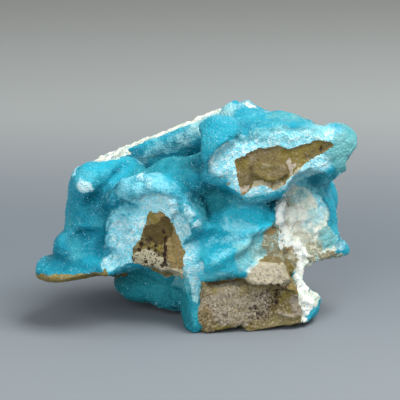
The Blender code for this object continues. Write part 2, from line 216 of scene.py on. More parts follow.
HOLLOWS = {
    "trough": Lump((-7, -4, 45), (17, 7.5, 3), tilt=25, turn=8, blend=3),
    "top_notch": Lump((31.4, -2, 53.4), (2.6, 9, 1.6), tilt=-20, blend=1),
    "trough_end": Lump((0.3, -10, 46), (2.6, 5.5, 5.5), tilt=10, blend=2),
    "cave": Lump((5, -15.5, 34), (7, 6, 3.4), tilt=-10, blend=1.4),
    "cave_right": Lump((15, -16.5, 30), (8.5, 6, 3.4), tilt=10, blend=1.6),
    "apron_valley": Lump((3, -17.5, 23.5), (8, 6, 3), tilt=18),
    "wall_groove": Lump((-25.5, -11, 32.5), (2.6, 5, 8), tilt=-25, blend=2.5),
    "ball_groove": Lump((-29, -11, 23.5), (5, 4, 2.2), tilt=10, blend=1.5),
    "undercut": Lump((-13.5, -18, 10.5), (10, 12, 6.5), tilt=-15, blend=1.4),
    "back_vug_high": Lump((9, 27, 33), (10, 8, 6), tilt=15),
    "back_vug_left": Lump((-15, 27, 21), (9, 9, 7), tilt=-20),
    "back_vug_low": Lump((6, 28, 11), (11, 8, 5), tilt=8),
    "back_vug_right": Lump((25, 22, 18), (7, 8, 8)),
    "back_crease": Lump((-4, 26, 40), (12, 7, 2.5), tilt=28),
}

FRACTURES = {
    "upper_window": Fracture(
        (22.4, -14.4, 43.4), (0.02, -0.98, 0.14),
        Lump((22.5, -20, 43.5), (21, 14, 12), tilt=14), 2.6),
    "left_window": Fracture(
        (-9.3, -15, 22.4), (-0.22, -0.96, 0.02),
        Lump((-11, -20, 24), (12.5, 13, 13)), 1.6),
    "left_band": Fracture(
        (-2, -14.4, 20), (-0.12, -0.99, 0),
        Lump((-2.4, -17.5, 20), (3.6, 6, 13), tilt=14)),
    "left_rough": Fracture(
        (-18.3, -12.6, 23.4), (-0.55, -0.83, 0.05),
        Lump((-18, -18, 24), (8, 10, 11))),
    "foot_front": Fracture(
        (13.8, -15.6, 7.1), (0.14, -0.96, 0.2),
        Lump((13.5, -22, 3), (20, 13, 11))),
    "foot_corner": Fracture(
        (27, -14, 6), (0.6, -0.78, 0.1),
        Lump((34, -20, 4), (12, 12, 10))),
    "foot_underside": Fracture(
        (21, -16, 1), (0.14, -0.1, -0.99),
        Lump((23.5, -14, -1.5), (14, 16, 6))),
    "foot_step": Fracture(
        (3, -16, 0), (0.24, -0.12, -0.97),
        Lump((7.8, -20, -0.5), (5.6, 9, 5))),
    "white_break": Fracture(
        (27.5, -7.2, 22), (0.22, -0.94, 0.24),
        Lump((31, -14, 23.5), (9.5, 14, 19), tilt=9)),
    "olive_break": Fracture(
        (20.5, -12, 21), (0.05, -0.97, -0.2),
        Lump((20.5, -20, 23.5), (8.5, 12, 5.5), tilt=30)),
    "tongue_break": Fracture(
        (17, -16.4, 15.5), (0.06, -0.95, 0.26),
        Lump((17.5, -22, 16), (8, 8, 5.4))),
    "slab_side": Fracture(
        (-1.2, -17.8, 6), (-0.88, -0.47, 0),
        Lump((-7, -16, 5), (6.5, 9, 11))),
    "ledge_underside": Fracture(
        (-30.8, -19, 15.2), (0.25, -0.35, -0.9),
        Lump((-34, -10, 10), (13, 16, 8.5), tilt=14)),
    "spike_underside": Fracture(
        (35.9, 0, 15.2), (0.25, -0.25, -0.93),
        Lump((37, 0, 12.5), (12, 14, 8))),
    "tip_underside": Fracture(
        (38.3, -8, 43.6), (0.84, -0.1, -0.54),
        Lump((42.5, -6, 44), (5.6, 12, 5.4))),
    "tip_step": Fracture(
        (35.9, -8, 41), (0.9, -0.1, -0.42),
        Lump((40.5, -6, 38.6), (6, 11, 3.6))),
    "peak_break": Fracture(
        (11.5, 7, 55.7), (0.32, -0.05, 0.95),
        Lump((18, 7, 58.4), (8.5, 10, 5.4))),
    "top_break": Fracture(
        (-9.8, 14, 45.6), (-0.37, 0.08, 0.92),
        Lump((-9.8, 17, 60), (34, 18, 24), tilt=22)),
    "back_high_break": Fracture(
        (-3, 22.4, 36), (-0.08, 0.93, 0.36),
        Lump((-3, 36, 44), (34, 18, 18), tilt=20)),
    "back_middle_break": Fracture(
        (-1, 24, 22), (-0.12, 0.99, -0.05),
        Lump((-2, 38, 22), (26, 18, 20))),
    "back_low_break": Fracture(
        (8, 23.4, 8), (0.16, 0.9, -0.4),
        Lump((8, 36, 0), (34, 18, 20))),
    "back_left_break": Fracture(
        (-23.8, 18, 20.6), (-0.55, 0.83, 0.05),
        Lump((-28, 30, 22), (24, 18, 40))),
    "back_right_break": Fracture(
        (28.3, 17.5, 26.6), (0.52, 0.84, 0.14),
        Lump((30, 30, 30), (20, 18, 24))),
}

MATRIX_LUMPS = {
    "back_core": Lump((1, 20, 18.5), (29, 20, 17)),
    "high_core": Lump((-4.5, 20, 35.5), (22, 15, 9), tilt=22),
    "low_core": Lump((5, 14, 1.5), (24, 18, 13)),
    "middle_core": Lump((14, 0, 17), (13, 10, 11)),
    "lobe_core": Lump((22, -2, 41), (10, 9, 5), tilt=16),
    "lobe_neck": Lump((19, 5, 33), (8, 7, 9)),
    "left_core": Lump((-9, -3, 21), (7, 10, 7)),
    "ledge_plate": Lump((-34, -6, 13), (13, 26, 3.2), tilt=14),
    "knob_core": Lump((-24.5, -9, 12), (4, 8, 5)),
    "ledge_link": Lump((-17, 5, 14), (9, 8, 6.5)),
}
WINDOWS = {
    "upper_window": Outline(-24, -4, (
        (10.5, 44), (15.5, 47.5), (20, 48.5), (23, 48), (26, 49), (31, 50.5), (35.5, 49),
        (28, 43), (24, 40), (20.5, 37), (16.5, 38), (11, 35.5),
    )),
    "left_window": Outline(-24, -4, (
        (-12, 31), (-9.5, 32), (-6.5, 29), (-4, 25), (-2.5, 21), (-3, 18), (-3.5, 13),
        (-8.5, 13), (-13, 16), (-16, 17), (-15.5, 21), (-13, 25),
    )),
    "foot_window": Outline(-30, -2, (
        (1, 12.5), (6, 13), (10, 13.5), (13, 15), (16, 18), (20, 20), (23, 17.5), (24.5, 14),
        (26, 9), (26.5, 5), (26.5, -4), (1, -4),
    )),
}


def unit(vector):
    """The vector at length 1."""
    vector = np.array(vector, float)
    return vector / np.linalg.norm(vector)


def axes_of(lump):
    """The lump's own axes, as the columns of a matrix."""
    turn = Matrix.Rotation(math.radians(lump.turn), 3, "Z")
    tilt = Matrix.Rotation(math.radians(-lump.tilt), 3, "Y")
    return np.array(turn @ tilt)


def ellipsoid_reach(points, lump):
    """How far out each point lies, as a share of the ellipsoid's radius that way."""
    local = (points - np.array(lump.at)) @ axes_of(lump)
    return np.linalg.norm(local / np.array(lump.radii), axis=-1)


def ellipsoid_distance(points, lump):
    """Signed distance to the ellipsoid, negative inside."""
    local = (points - np.array(lump.at)) @ axes_of(lump)
    radii = np.array(lump.radii, float)
    near = np.linalg.norm(local / radii, axis=-1)
    steep = np.linalg.norm(local / radii ** 2, axis=-1)
    return near * (near - 1) / np.maximum(steep, 1e-6)


def block_distance(points, block):
    """Signed distance to the box with rounded edges."""
    local = (points - np.array(block.at)) @ axes_of(block)
    over = np.abs(local) - (np.array(block.radii) - BLOCK_ROUNDING)
    outside = np.linalg.norm(np.maximum(over, 0), axis=-1)
    return outside + np.minimum(over.max(-1), 0) - BLOCK_ROUNDING


def fracture_distance(points, fracture):
    """Signed distance to what the fracture takes away."""
    beyond = (points - np.array(fracture.at)) @ unit(fracture.facing)
    return np.maximum(-beyond, ellipsoid_distance(points, fracture.reach))


def outline_distance(across, up, corners):
    """Signed distance from points of a plane to a closed outline, negative inside."""
    nearest = np.full(across.shape, np.inf)
    inside = np.zeros(across.shape, bool)
    for i, (x, z) in enumerate(corners):
        last_x, last_z = corners[i - 1]
        run_x, run_z = last_x - x, last_z - z
        share = ((across - x) * run_x + (up - z) * run_z) / (run_x ** 2 + run_z ** 2)
        share = np.clip(share, 0, 1)
        gap = np.hypot(across - x - share * run_x, up - z - share * run_z)
        nearest = np.minimum(nearest, gap)
        spans = (z > up) != (last_z > up)
        crossing = x + (up - z) * run_x / np.where(run_z == 0, 1e-9, run_z)
        inside ^= spans & (across < crossing)
    return np.where(inside, -nearest, nearest)


def window_distance(points, window):
    """Signed distance to the window's outline, run straight back through the stone."""
    flat = outline_distance(points[..., 0], points[..., 2], window.points)
    ends = np.maximum(window.front - points[..., 1], points[..., 1] - window.back)
    return np.maximum(flat, ends)


def soft_min(first, second, blend):
    """The lesser of the two, rounded where they meet."""
    overlap = np.maximum(blend - np.abs(first - second), 0) / blend
    return np.minimum(first, second) - overlap ** 2 * blend / 4


class Step(NamedTuple):
    """A shape added to the stone, or taken from it, and the box that it can reach."""

    distance: Callable
    low: np.ndarray
    high: np.ndarray
    blend: float
    adds: bool


class Form:
    """A solid as a signed distance, built up in steps."""

    def __init__(self):
        self.steps = []

    def change(self, distance, lump, adds, blend=None):
        """Adds a step that reaches as far as the lump does."""
        half = np.abs(axes_of(lump)) @ np.array(lump.radii)
        low, high = np.array(lump.at) - half, np.array(lump.at) + half
        self.steps.append(Step(distance, low, high, lump.blend if blend is None else blend, adds))

    def add_lumps(self, lumps):
        """Adds an ellipsoid for each lump."""
        for lump in lumps.values():
            self.change(functools.partial(ellipsoid_distance, lump=lump), lump, True)

    def add_block(self, block):
        """Adds a box."""
        self.change(functools.partial(block_distance, block=block), block, True)

    def hollow(self, lumps):
        """Takes an ellipsoid away for each lump."""
        for lump in lumps.values():
            self.change(functools.partial(ellipsoid_distance, lump=lump), lump, False)

    def fracture(self, fractures):
        """Breaks the solid along each fracture."""
        for item in fractures.values():
            cut = functools.partial(fracture_distance, fracture=item)
            self.change(cut, item.reach, False, item.blend)

    @staticmethod
    def taken(step, values, points):
        """The values after one step."""
        distance = step.distance(points)
        if step.adds:
            return soft_min(values, distance, step.blend)
        return -soft_min(-values, distance, step.blend)

    def at(self, points):
        """The signed distance at each of the points."""
        values = np.full(len(points), FAR)
        for step in self.steps:
            inside = (points > step.low - POINT_PAD) & (points < step.high + POINT_PAD)
            near = np.all(inside, axis=1)
            values[near] = self.taken(step, values[near], points[near])
        return values

    def on_grid(self, spacing):
        """The signed distance on a lattice over the whole specimen."""
        counts = [int((high - low) / spacing) + 1 for low, high in zip(GRID_LOW, GRID_HIGH)]
        places = [low + spacing * np.arange(count) for low, count in zip(GRID_LOW, counts)]
        values = np.full(counts, FAR)
        for step in self.steps:
            spans = [
                slice(*np.searchsorted(place, (low - GRID_PAD, high + GRID_PAD)))
                for place, low, high in zip(places, step.low, step.high)
            ]
            part = tuple(spans)
            near = [place[span] for place, span in zip(places, spans)]
            points = np.stack(np.meshgrid(*near, indexing="ij"), -1)
            values[part] = self.taken(step, values[part], points)
        return values


def whole_form():
    """The stone before it broke."""
    form = Form()
    form.add_lumps(FORM_LUMPS)
    form.add_block(FOOT_BLOCK)
    form.hollow(HOLLOWS)
    return form


def broken_form():
    """The stone as it is, but for its flat rest."""
    form = whole_form()
    form.fracture(FRACTURES)
    return form


def matrix_distance(points):
    """Signed distance to the boundary between the minerals, negative on the matrix's side."""
    form = Form()
    form.add_lumps(MATRIX_LUMPS)
    values = form.at(points)
    for window in WINDOWS.values():
        values = np.minimum(values, window_distance(points, window))
    return values


CORNERS = np.array([(x, y, z) for x in (0, 1) for y in (0, 1) for z in (0, 1)])
NEIGHBOURS = np.array([(x, y, z) for x in (-1, 0, 1) for y in (-1, 0, 1) for z in (-1, 0, 1)])
CENTRE_SHIFT = 0.42
# Large odd numbers that scatter neighbouring cells and seeds
SCATTER = (374761393, 668265263, 1440662683)
SEED_SCATTER = 974634777
LAST_SCATTER = np.uint32(1274126177)
WORD = 0xFFFFFFFF


def cell_number(cells, seed):
    """A number from -1 to 1 for each whole-numbered cell, always the same for the same cell."""
    mixed = cells @ np.array(SCATTER) + seed * SEED_SCATTER
    mixed = (mixed & WORD).astype(np.uint32)
    mixed = (mixed ^ (mixed >> 13)) * LAST_SCATTER
    mixed ^= mixed >> 16
    return mixed / (WORD / 2) - 1


def smooth_noise(points, size, seed):
    """Rolling values from -1 to 1, with hills about the size across."""
    scaled = np.asarray(points) / size
    cells = np.floor(scaled).astype(np.int64)
    share = scaled - cells
    share = share ** 2 * (3 - 2 * share)
    total = np.zeros(len(scaled))
    for corner in CORNERS:
        weight = np.prod(np.where(corner, share, 1 - share), axis=1)
        total += weight * cell_number(cells + corner, seed)
    return total


def layered_noise(points, size, seed, layers=3):
    """Smooth noise with finer noise on it."""
    total = np.zeros(len(points))
    for layer in range(layers):
        total += smooth_noise(points, size / 2 ** layer, seed + 17 * layer) / 2 ** layer
    return total / 1.5


def bubble_noise(points, size, seed):
    """The distance to the nearest of scattered centres, in sizes, and that centre's own number."""
    scaled = points / size
    cells = np.floor(scaled).astype(np.int64)
    nearest = np.full(len(points), np.inf)
    own = np.zeros(len(points))
    for offset in NEIGHBOURS:
        home = cells + offset
        shift = np.stack([cell_number(home, seed + axis) for axis in range(3)], 1)
        centre = home + 0.5 + CENTRE_SHIFT * shift
        distance = np.linalg.norm(scaled - centre, axis=1)
        closer = distance < nearest
        nearest = np.where(closer, distance, nearest)
        own = np.where(closer, cell_number(home, seed + 3), own)
    return nearest, own


def ease(values, low, high):
    """From 0 at the low value to 1 at the high one, with soft ends."""
    share = np.clip((values - low) / (high - low), 0, 1)
    return share ** 2 * (3 - 2 * share)


def surface_net(values, spacing):
    """Points and four-sided faces where the lattice's values pass through zero."""
    inside = values < 0
    counts = [count - 1 for count in values.shape]
    filled = np.zeros(counts, np.int8)
    for x, y, z in CORNERS:
        filled += inside[x:x + counts[0], y:y + counts[1], z:z + counts[2]]
    active = (filled > 0) & (filled < 8)
    cells = np.argwhere(active)
    numbers = np.full(counts, -1)
    numbers[active] = np.arange(len(cells))
    total = np.zeros((len(cells), 3))
    crossings = np.zeros(len(cells))
    for corner in CORNERS:
        for axis in np.flatnonzero(corner == 0):
            other = corner.copy()
            other[axis] = 1
            start = values[tuple((cells + corner).T)]
            end = values[tuple((cells + other).T)]
            crosses = (start < 0) != (end < 0)
            spot = np.repeat(corner[None].astype(float), len(cells), 0)
            spot[crosses, axis] += start[crosses] / (start[crosses] - end[crosses])
            total[crosses] += spot[crosses]
            crossings[crosses] += 1
    points = (cells + total / crossings[:, None]) * spacing + np.array(GRID_LOW)
    return points, net_faces(inside, numbers)


def net_faces(inside, numbers):
    """A face across each lattice edge that passes through the skin, turned outwards."""
    faces = []
    for axis in range(3):
        first, second = (other for other in range(3) if other != axis)
        start = np.take(inside, range(inside.shape[axis] - 1), axis)
        end = np.take(inside, range(1, inside.shape[axis]), axis)
        edges = np.argwhere(start != end)
        ring = []
        for back_first, back_second in ((1, 1), (0, 1), (0, 0), (1, 0)):
            cell = edges.copy()
            cell[:, first] -= back_first
            cell[:, second] -= back_second
            ring.append(numbers[tuple(cell.T)])
        ring = np.stack(ring, 1)
        outwards = start[tuple(edges.T)] != (axis == 1)
        ring[~outwards] = ring[~outwards][:, ::-1]
        faces.append(ring)
    return np.concatenate(faces)


SLOPE_STEP = 0.15


def slopes(form, points):
    """The outward direction of the form at each point."""
    slope = np.stack([
        form.at(points + SLOPE_STEP * axis) - form.at(points - SLOPE_STEP * axis)
        for axis in np.eye(3)
    ], 1)
    return slope / np.maximum(np.linalg.norm(slope, axis=1, keepdims=True), 1e-9)


# Where the crust runs on over the boundary's own lumps
COVERED = (
    Place((31, -11, 41), (5, 6, 4)),
    Place((28.6, -11, 39), (6, 7, 3)),
)
# Each kind of mark, and where it lies on the skin
PLACES = {
    "frost": (
        Place((-28.7, -8, 37), (1.5, 4, 1.5)),
        Place((-14.3, -13, 39.8), (1.4, 4, 1.2), 0, 0.9),
        Place((-11.7, -15, 38), (1.3, 4, 1.3), 0, 0.7),
        Place((-31.2, -2, 39), (1.2, 5, 1.4)),
        Place((-1.6, -17, 31.9), (1.5, 4, 1.5), 0, 0.8),
        Place((-0.3, -16, 28), (1.4, 4, 1.1), 0, 0.9),
        Place((2.6, -17, 30), (1.5, 4, 1.3), 0, 0.6),
        Place((-3.4, 6, 45.6), (2.6, 6, 2.6), 0, 0.6),
        Place((15, -17, 50.6), (4.5, 8, 2.6), -10, 0.5),
        Place((25, -9, 33.5), (4, 8, 2.4), 0, 0.5),
        Place((37, -4, 19.8), (3.4, 6, 1.5), -14, 0.6),
        Place((5, 7, 53.2), (9, 8, 1), 26, 0.5),
        Place((12, 6, 55), (3, 6, 1.2), 0, 0.6),
    ),
    "bloom": (
        Place((-12, -12, 36), (10, 8, 6), -20),
        Place((-2.5, -14, 31), (7, 6, 6), -45, 0.7),
        Place((-21, -10, 35), (6, 8, 4), 30, 0.6),
        Place((-31, -9, 15), (11, 10, 2.2), 6, 0.4),
        Place((11, -13, 26.5), (6, 6, 2), -8, 0.9),
        Place((12, -14, 24), (11, 6, 1.6), 14, 0.9),
        Place((7, -15, 19.6), (10, 6, 1), 24, 0.8),
        Place((14, -13, 33), (8, 6, 3), -6, 0.7),
        Place((4, -12, 44), (8, 8, 9), 0, 0.3),
        Place((18, -8, 52), (14, 10, 3.5), -6, 0.4),
        Place((0, 8, 49), (16, 8, 3), 22, 0.7),
        Place((-18.5, -12, 25), (6, 6, 9)),
        Place((27, -8, 35), (8, 8, 3.4), -10),
    ),
    "sea": (
        Place((27.5, -9, 33), (4, 7, 2.4), -20, 0.7),
        Place((-10, 5, 43), (13, 6, 2), 22, 0.5),
        Place((14.5, -14, 20.5), (5.4, 6, 4.4), 24, 0.7),
        Place((30.7, -9, 26.9), (3.4, 6, 3.4), 0, 0.9),
        Place((38.5, -8, 46.5), (5, 9, 5), 0, 0.8),
        Place((4.5, 4, 51.6), (9, 9, 3), 26),
        Place((5, -16, 14.5), (9, 6, 1.6), 0, 0.5),
        Place((35, -3, 22), (2.6, 6, 2.4), 0, 0.8),
    ),
    # Partly the crust's greener tone, partly painted shade: on the shelf under the ledge, the
    # slab's side, the trough, the cave and under the lobe's tip
    "shaded_teal": (
        Place((-6, -2, 43), (13, 8, 4.5), 25, 0.6),
        Place((-14, -4, 8), (14, 10, 8)),
        Place((-4.6, -14, 6), (3.2, 10, 10)),
        Place((0, -17, 5), (2.4, 4, 10), 0, 0.5),
        Place((5, -10, 33), (7, 7, 4), 0, 0.7),
        Place((36, -6, 41), (6, 8, 4), 0, 0.6),
        Place((38.5, -8, 45.5), (4.5, 9, 4.5), 0, 0.5),
        Place((29, -11, 12.4), (0.6, 8, 3)),
    ),
    # Painted shade on the left wall, the ball, the lobe's tip and the hollows under the lobes
    "shade": (
        Place((-28, -8, 27), (7, 9, 10), 0, 0.5),
        Place((-33.5, -8, 19.5), (6, 8, 4.2), 0, 0.8),
        Place((-10, -6, 38), (9, 7, 3), 10, 0.5),
        Place((5, -8, 35), (6, 8, 5), -20),
        Place((12, -8, 32), (9, 8, 2), -8, 0.3),
        Place((37, -8, 48), (6, 9, 5), 0, 0.6),
        Place((-33.5, -10, 18), (6, 8, 4), 0, 0.8),
    ),
    # Painted light on the apron in the lobe's shadow, and on the shoulder and the ridge
    "painted_light": (
        Place((9, -8, 22), (15, 12, 9), 14, 0.65),
        Place((5, -15, 16.2), (11, 6, 3.2), 14, 1.2),
        Place((14, -12, 29), (10, 7, 4), -6, 1.2),
        Place((-24, -2, 38), (9, 8, 4), 10, 0.6),
        Place((-5, -8, 39), (8, 8, 3), -10, 0.5),
    ),
    "porous": (
        Place((-12, -14.5, 19), (5.6, 6, 5.8), -20),
        Place((18, -16, 7.2), (8.2, 6, 3), 57),
        Place((5, -16, 3.5), (5, 6, 5), 0, 0.6),
        Place((0, 24, 20), (30, 8, 22), 0, 0.35),
    ),
    "dark": (
        Place((-8.8, -15.5, 26.6), (3.3, 6, 3.8), -30),
        Place((18, -16, 7.2), (7.4, 6, 2.6), 57, 0.66),
        Place((32, -14, 46.5), (6, 6, 3), 14, 0.48),
    ),
    "crack": (
        Place((-8, -15, 22.5), (0.4, 6, 5.5), -10),
        Place((31.6, -14, 47.4), (0.35, 5, 2), 15),
    ),
    "rust": (
        Place((29, -1, 52.4), (3.6, 8, 0.7), -22, 0.9),
        Place((19.9, -12, 24.6), (1.2, 8, 1.5)),
        Place((24, -12, 19.6), (2.4, 8, 1), -35, 0.8),
        Place((23.3, -10, 32), (0.5, 6, 2.4), 8),
        Place((8, -14, 37.9), (1.2, 5, 0.5), -25),
        Place((-26.3, 9, 39.5), (1.4, 6, 0.8), 0, 0.9),
    ),
    "orange": (
        Place((-5, -14.5, 21), (3.4, 6, 6.4), -12),
        Place((-9, -15.5, 30.5), (2.5, 5, 1.8), 0, 0.8),
    ),
    "cream": (
        Place((-4.5, -14.5, 14.5), (5, 6, 1.8), 0, 0.7),
        Place((-12, -14.5, 17), (6, 6, 4), 0, 0.8),
        Place((17.5, -18, 15.6), (7, 5, 4.2), -6),
        Place((16.6, -14, 37.6), (2.6, 5, 0.8), 10),
        Place((20.7, -14, 38.4), (2, 5, 0.8), 20),
        Place((27, -12, 40.8), (4.5, 6, 1.3), 28),
    ),
    "fleck": (
        Place((24.1, -14, 43.4), (1.5, 5, 0.6), -45),
        Place((25.2, -14, 41.9), (0.6, 5, 1.3), -8, 0.9),
        Place((12.2, -14, 37.2), (1.6, 5, 0.7), 12),
        Place((17.5, -18, 15.6), (7, 5, 4.2), -6, 0.5),
    ),
    "granular": (
        Place((13, -15, 6), (18, 9, 12)),
        Place((-5, -14.5, 19), (4, 6, 7), 0, 0.5),
        Place((22, -14, 43), (14, 6, 7), 0, 0.3),
        Place((0, 24, 20), (36, 10, 30), 0, 0.7),
        Place((-34, -6, 13), (14, 26, 4), 0, 0.5),
    ),
    "grey": (
        Place((10, -15, 7), (10, 6, 7), 0, 0.6),
        Place((25.6, -13.5, 7.8), (2.6, 5, 3)),
        Place((24.5, -14, 4.4), (5, 5, 1.1), 8),
    ),
    "olive_rock": (
        Place((21, -15, 1.8), (8, 6, 1.8), 10, 0.9),
        Place((16, -14, 11), (6, 5, 1.2), -4, 0.8),
    ),
    "nodule": (
        Place((18.8, -14, 41.6), (4.6, 6, 3.7), 8),
    ),
    "torn": (
        Place((26.8, -8, 27.5), (6, 9, 9.5), 8),
        Place((31, -7, 19.5), (6, 9, 6.5), -10),
        Place((-24, 8, 40.6), (6, 9, 2.2), 18),
        Place((29.5, -10, 13), (4, 12, 9), 6),
    ),
    "olive": (
        Place((20, -12, 23), (3.6, 8, 4.2)),
        Place((23.5, -12, 18), (3.4, 8, 5)),
        Place((33.5, -5, 16.9), (5.5, 6, 1.7), -4),
        Place((31, -8, 20.6), (2.8, 6, 2.6), 0, 0.8),
        Place((28, 2, 53), (5, 9, 2), -18, 0.5),
        Place((-24, 12, 39), (6, 8, 2.4), 22, 0.5),
    ),
    "glassy": (
        Place((15, -14, 21.5), (6, 6, 3.6), 24, 0.6),
        Place((37, -8, 46.5), (6.5, 9, 7)),
        Place((26, -4, 54), (10, 8, 2.4), -14, 0.6),
        Place((22, -14, 51.5), (14, 7, 2.4), 6, 0.5),
        Place((33.8, -4, 21.5), (3.4, 7, 3), 0, 0.8),
        Place((30.5, -6, 34), (5, 8, 3), -30, 0.5),
    ),
    "white": (
        Place((22.4, -9, 29.5), (1, 7, 6), 4),
        Place((26.5, -9, 28), (3, 7, 5), 20, 0.5),
        Place((23, -9, 23.6), (1.4, 6, 3)),
        Place((26, -9, 20.2), (4.4, 6, 2.1), -32),
        Place((27.3, -11, 13.5), (1.2, 7, 5), 0, 0.9),
        Place((28.2, -12, 6), (1.1, 7, 6), 0, 0.9),
        Place((30.6, -9, 12), (1.4, 7, 3), 0, 0.7),
    ),
    "banded": (
        Place((-2.2, -14, 23), (3, 8, 10.5), -12),
        Place((-7, -14, 31), (5, 8, 2.4), -40, 0.6),
        Place((-1.5, -15, 5), (4.5, 8, 9.5)),
    ),
}


# A mark's strength falls between these shares of its place's radii
MARK_EDGE = (0.75, 1.15)
COVER_DEPTH = 4

# Which points are moved onto the minerals' boundary, as a share of the spacing, and how far
FIT_SHARE = 0.55
FIT_STEP = 0.12
FIT_LEAST_SLOPE = 0.2
FIT_REACH = 0.3

# Sizes of what stands out from the skin
BUBBLE_SIZE = 6.5
BUD_SIZE = 2.9
BEAD_SIZE = 1.3
BUBBLE_EDGE = 0.35
CRYSTAL_SIZE = 1.2
BLOCK_SIZE = 2.3
LAYER_THICKNESS = 0.8
CHUNK_SIZE = 5.5
PIT_SIZE = 1.35
PIT_DEPTH = 0.75
WINDOW_DEPTH = 0.75


def marked(points, places):
    """How strongly each point is marked, from all the places."""
    strongest = np.zeros(len(points))
    for place in places:
        lump = Lump(place.at, place.radii, place.tilt)
        inside = 1 - ease(ellipsoid_reach(points, lump), *MARK_EDGE)
        strongest = np.maximum(strongest, place.strength * inside)
    return strongest


def wandered(points, size, reach, seed):
    """The points, each moved a little in a way that its neighbours share."""
    moves = [layered_noise(points, size, seed + 5 * axis) for axis in range(3)]
    return points + reach * np.stack(moves, 1)


def strayed(points):
    """The points, moved as the edges of windows and marks wander."""
    return wandered(wandered(points, 5, 1.3, 71), 1.3, 0.4, 73)


def boundary_at(points):
    """Signed distance to the wandering boundary between the minerals."""
    return matrix_distance(strayed(points)) + COVER_DEPTH * marked(points, COVERED)


def fitted(points, outwards, spacing):
    """The points, those close to the minerals' boundary moved along the skin onto it."""
    rock = boundary_at(points)
    near = np.flatnonzero(np.abs(rock) < FIT_SHARE * spacing)
    spots, step = points[near], FIT_STEP
    slope = np.stack([
        (boundary_at(spots + step * axis) - boundary_at(spots - step * axis)) / (2 * step)
        for axis in np.eye(3)
    ], 1)
    slope -= outwards[near] * np.sum(slope * outwards[near], axis=1, keepdims=True)
    steep = np.maximum(np.sum(slope ** 2, axis=1), FIT_LEAST_SLOPE)
    points[near] -= slope * np.clip(rock[near] / steep, -FIT_REACH, FIT_REACH)[:, None]
    return points


def skin_relief(points, frost):
    """Rounded bubbles with buds and beads on them, a little raised where there is frost."""
    bubbles, own = bubble_noise(points, BUBBLE_SIZE, 11)
    buds, bud_own = bubble_noise(points, BUD_SIZE, 19)
    beads, bead_own = bubble_noise(points, BEAD_SIZE, 23)
    skin = 1.5 * (BUBBLE_EDGE - bubbles ** 2) * (0.6 + 0.4 * own)
    skin += 0.6 * (BUBBLE_EDGE - buds ** 2) * ease(bud_own, -0.6, 0.6)
    skin += 0.2 * (BUBBLE_EDGE - beads ** 2) * ease(bead_own, -0.3, 0.6)
    skin += 0.3 * layered_noise(points, 9, 31, 4) + 0.25 * frost
    return skin + 0.05 * smooth_noise(points, 0.8, 29)


def torn_relief(points, values):
    """Fibres, thin layers and blocks, where the crust is torn."""
    upright = smooth_noise(points * (1, 1, 0.3), 0.9, 43)
    fibres = upright + smooth_noise(points * (0.5, 1, 1), 1.5, 45)
    layers = np.sin(2 * np.pi * values["seam"] / LAYER_THICKNESS) * values["banded"]
    blocks, own = bubble_noise(points * (1, 1, 0.7), BLOCK_SIZE, 47)
    torn = 0.04 * layers + 0.22 * fibres + 0.5 * layered_noise(points, 3.4, 41, 4)
    torn += 0.4 * values["white"]
    steps = 0.55 * own - 0.35 * ease(blocks, 0.5, 0.75)
    return torn + steps * (1 - 0.7 * ease(values["up"], 0.6, 0.9))


def rock_relief(points, values):
    """Uneven rock with a nodule, a crack and pits, sunk inside the upper window."""
    pits, pit_own = bubble_noise(points, PIT_SIZE, 53)
    pit_depth = PIT_DEPTH * (1 - ease(pits, 0.2, 0.52)) * (pit_own > -0.1)
    rock = 0.5 * layered_noise(points, 5, 61, 4) + 0.25 * layered_noise(points, 1.4, 67)
    rock += 0.12 * smooth_noise(points, 0.8, 69) * values["granular"]
    crevice = values["nodule"] * (1 - values["nodule"])
    rock += 0.7 * values["grey"] + 1.3 * values["nodule"] - 1.4 * crevice - 0.6 * values["crack"]
    chunks, own = bubble_noise(points, CHUNK_SIZE, 57)
    uneven = 0.9 * layered_noise(points, 8, 63, 4) + 0.5 * own * (1 - ease(chunks, 0.45, 0.75))
    rock += uneven * ease(points[:, 1], 2, 10)
    rock -= pit_depth * values["porous"]
    inside = ease(-values["rock"], 0, 0.8) * ease(points[:, 2], 30, 33)
    return rock - WINDOW_DEPTH * inside * ease(-points[:, 1], 8, 10)


def relief(points, values):
    """How far each point of the skin stands out from the plain form."""
    skin = skin_relief(points, values["frost"])
    ringed = 0.6 * (values["crystal"] - 0.4) + 0.35 * layered_noise(points, 3, 39)
    torn = torn_relief(points, values)
    ring = 1 - ease(values["ring"], 2, 4)
    broken = np.maximum(ease(values["deep"], 0.3, 0.9), values["torn"])
    crust = skin * (1 - ring) + ringed * ring
    crust = crust * (1 - broken) + (torn * (1 - ring * 0.7) + ringed * ring * 0.7) * broken
    stone = ease(-values["rock"], -0.15, 0.15)
    return crust * (1 - stone) + rock_relief(points, values) * stone


class Skin(NamedTuple):
    """The stone's whole skin, in parts, with what its finish needs at each point."""

    points: np.ndarray
    outwards: np.ndarray
    faces: np.ndarray
    values: dict


# Points below this height lie in the flat rest and keep their places
REST_HEIGHT = 0.3
SETTLE_REACH = 0.2
# How far out the skin looks to tell how open its surroundings are, for the painted shade of the
# crust's hollows
NEAR_LOOK = 3
FAR_LOOK = 6.5


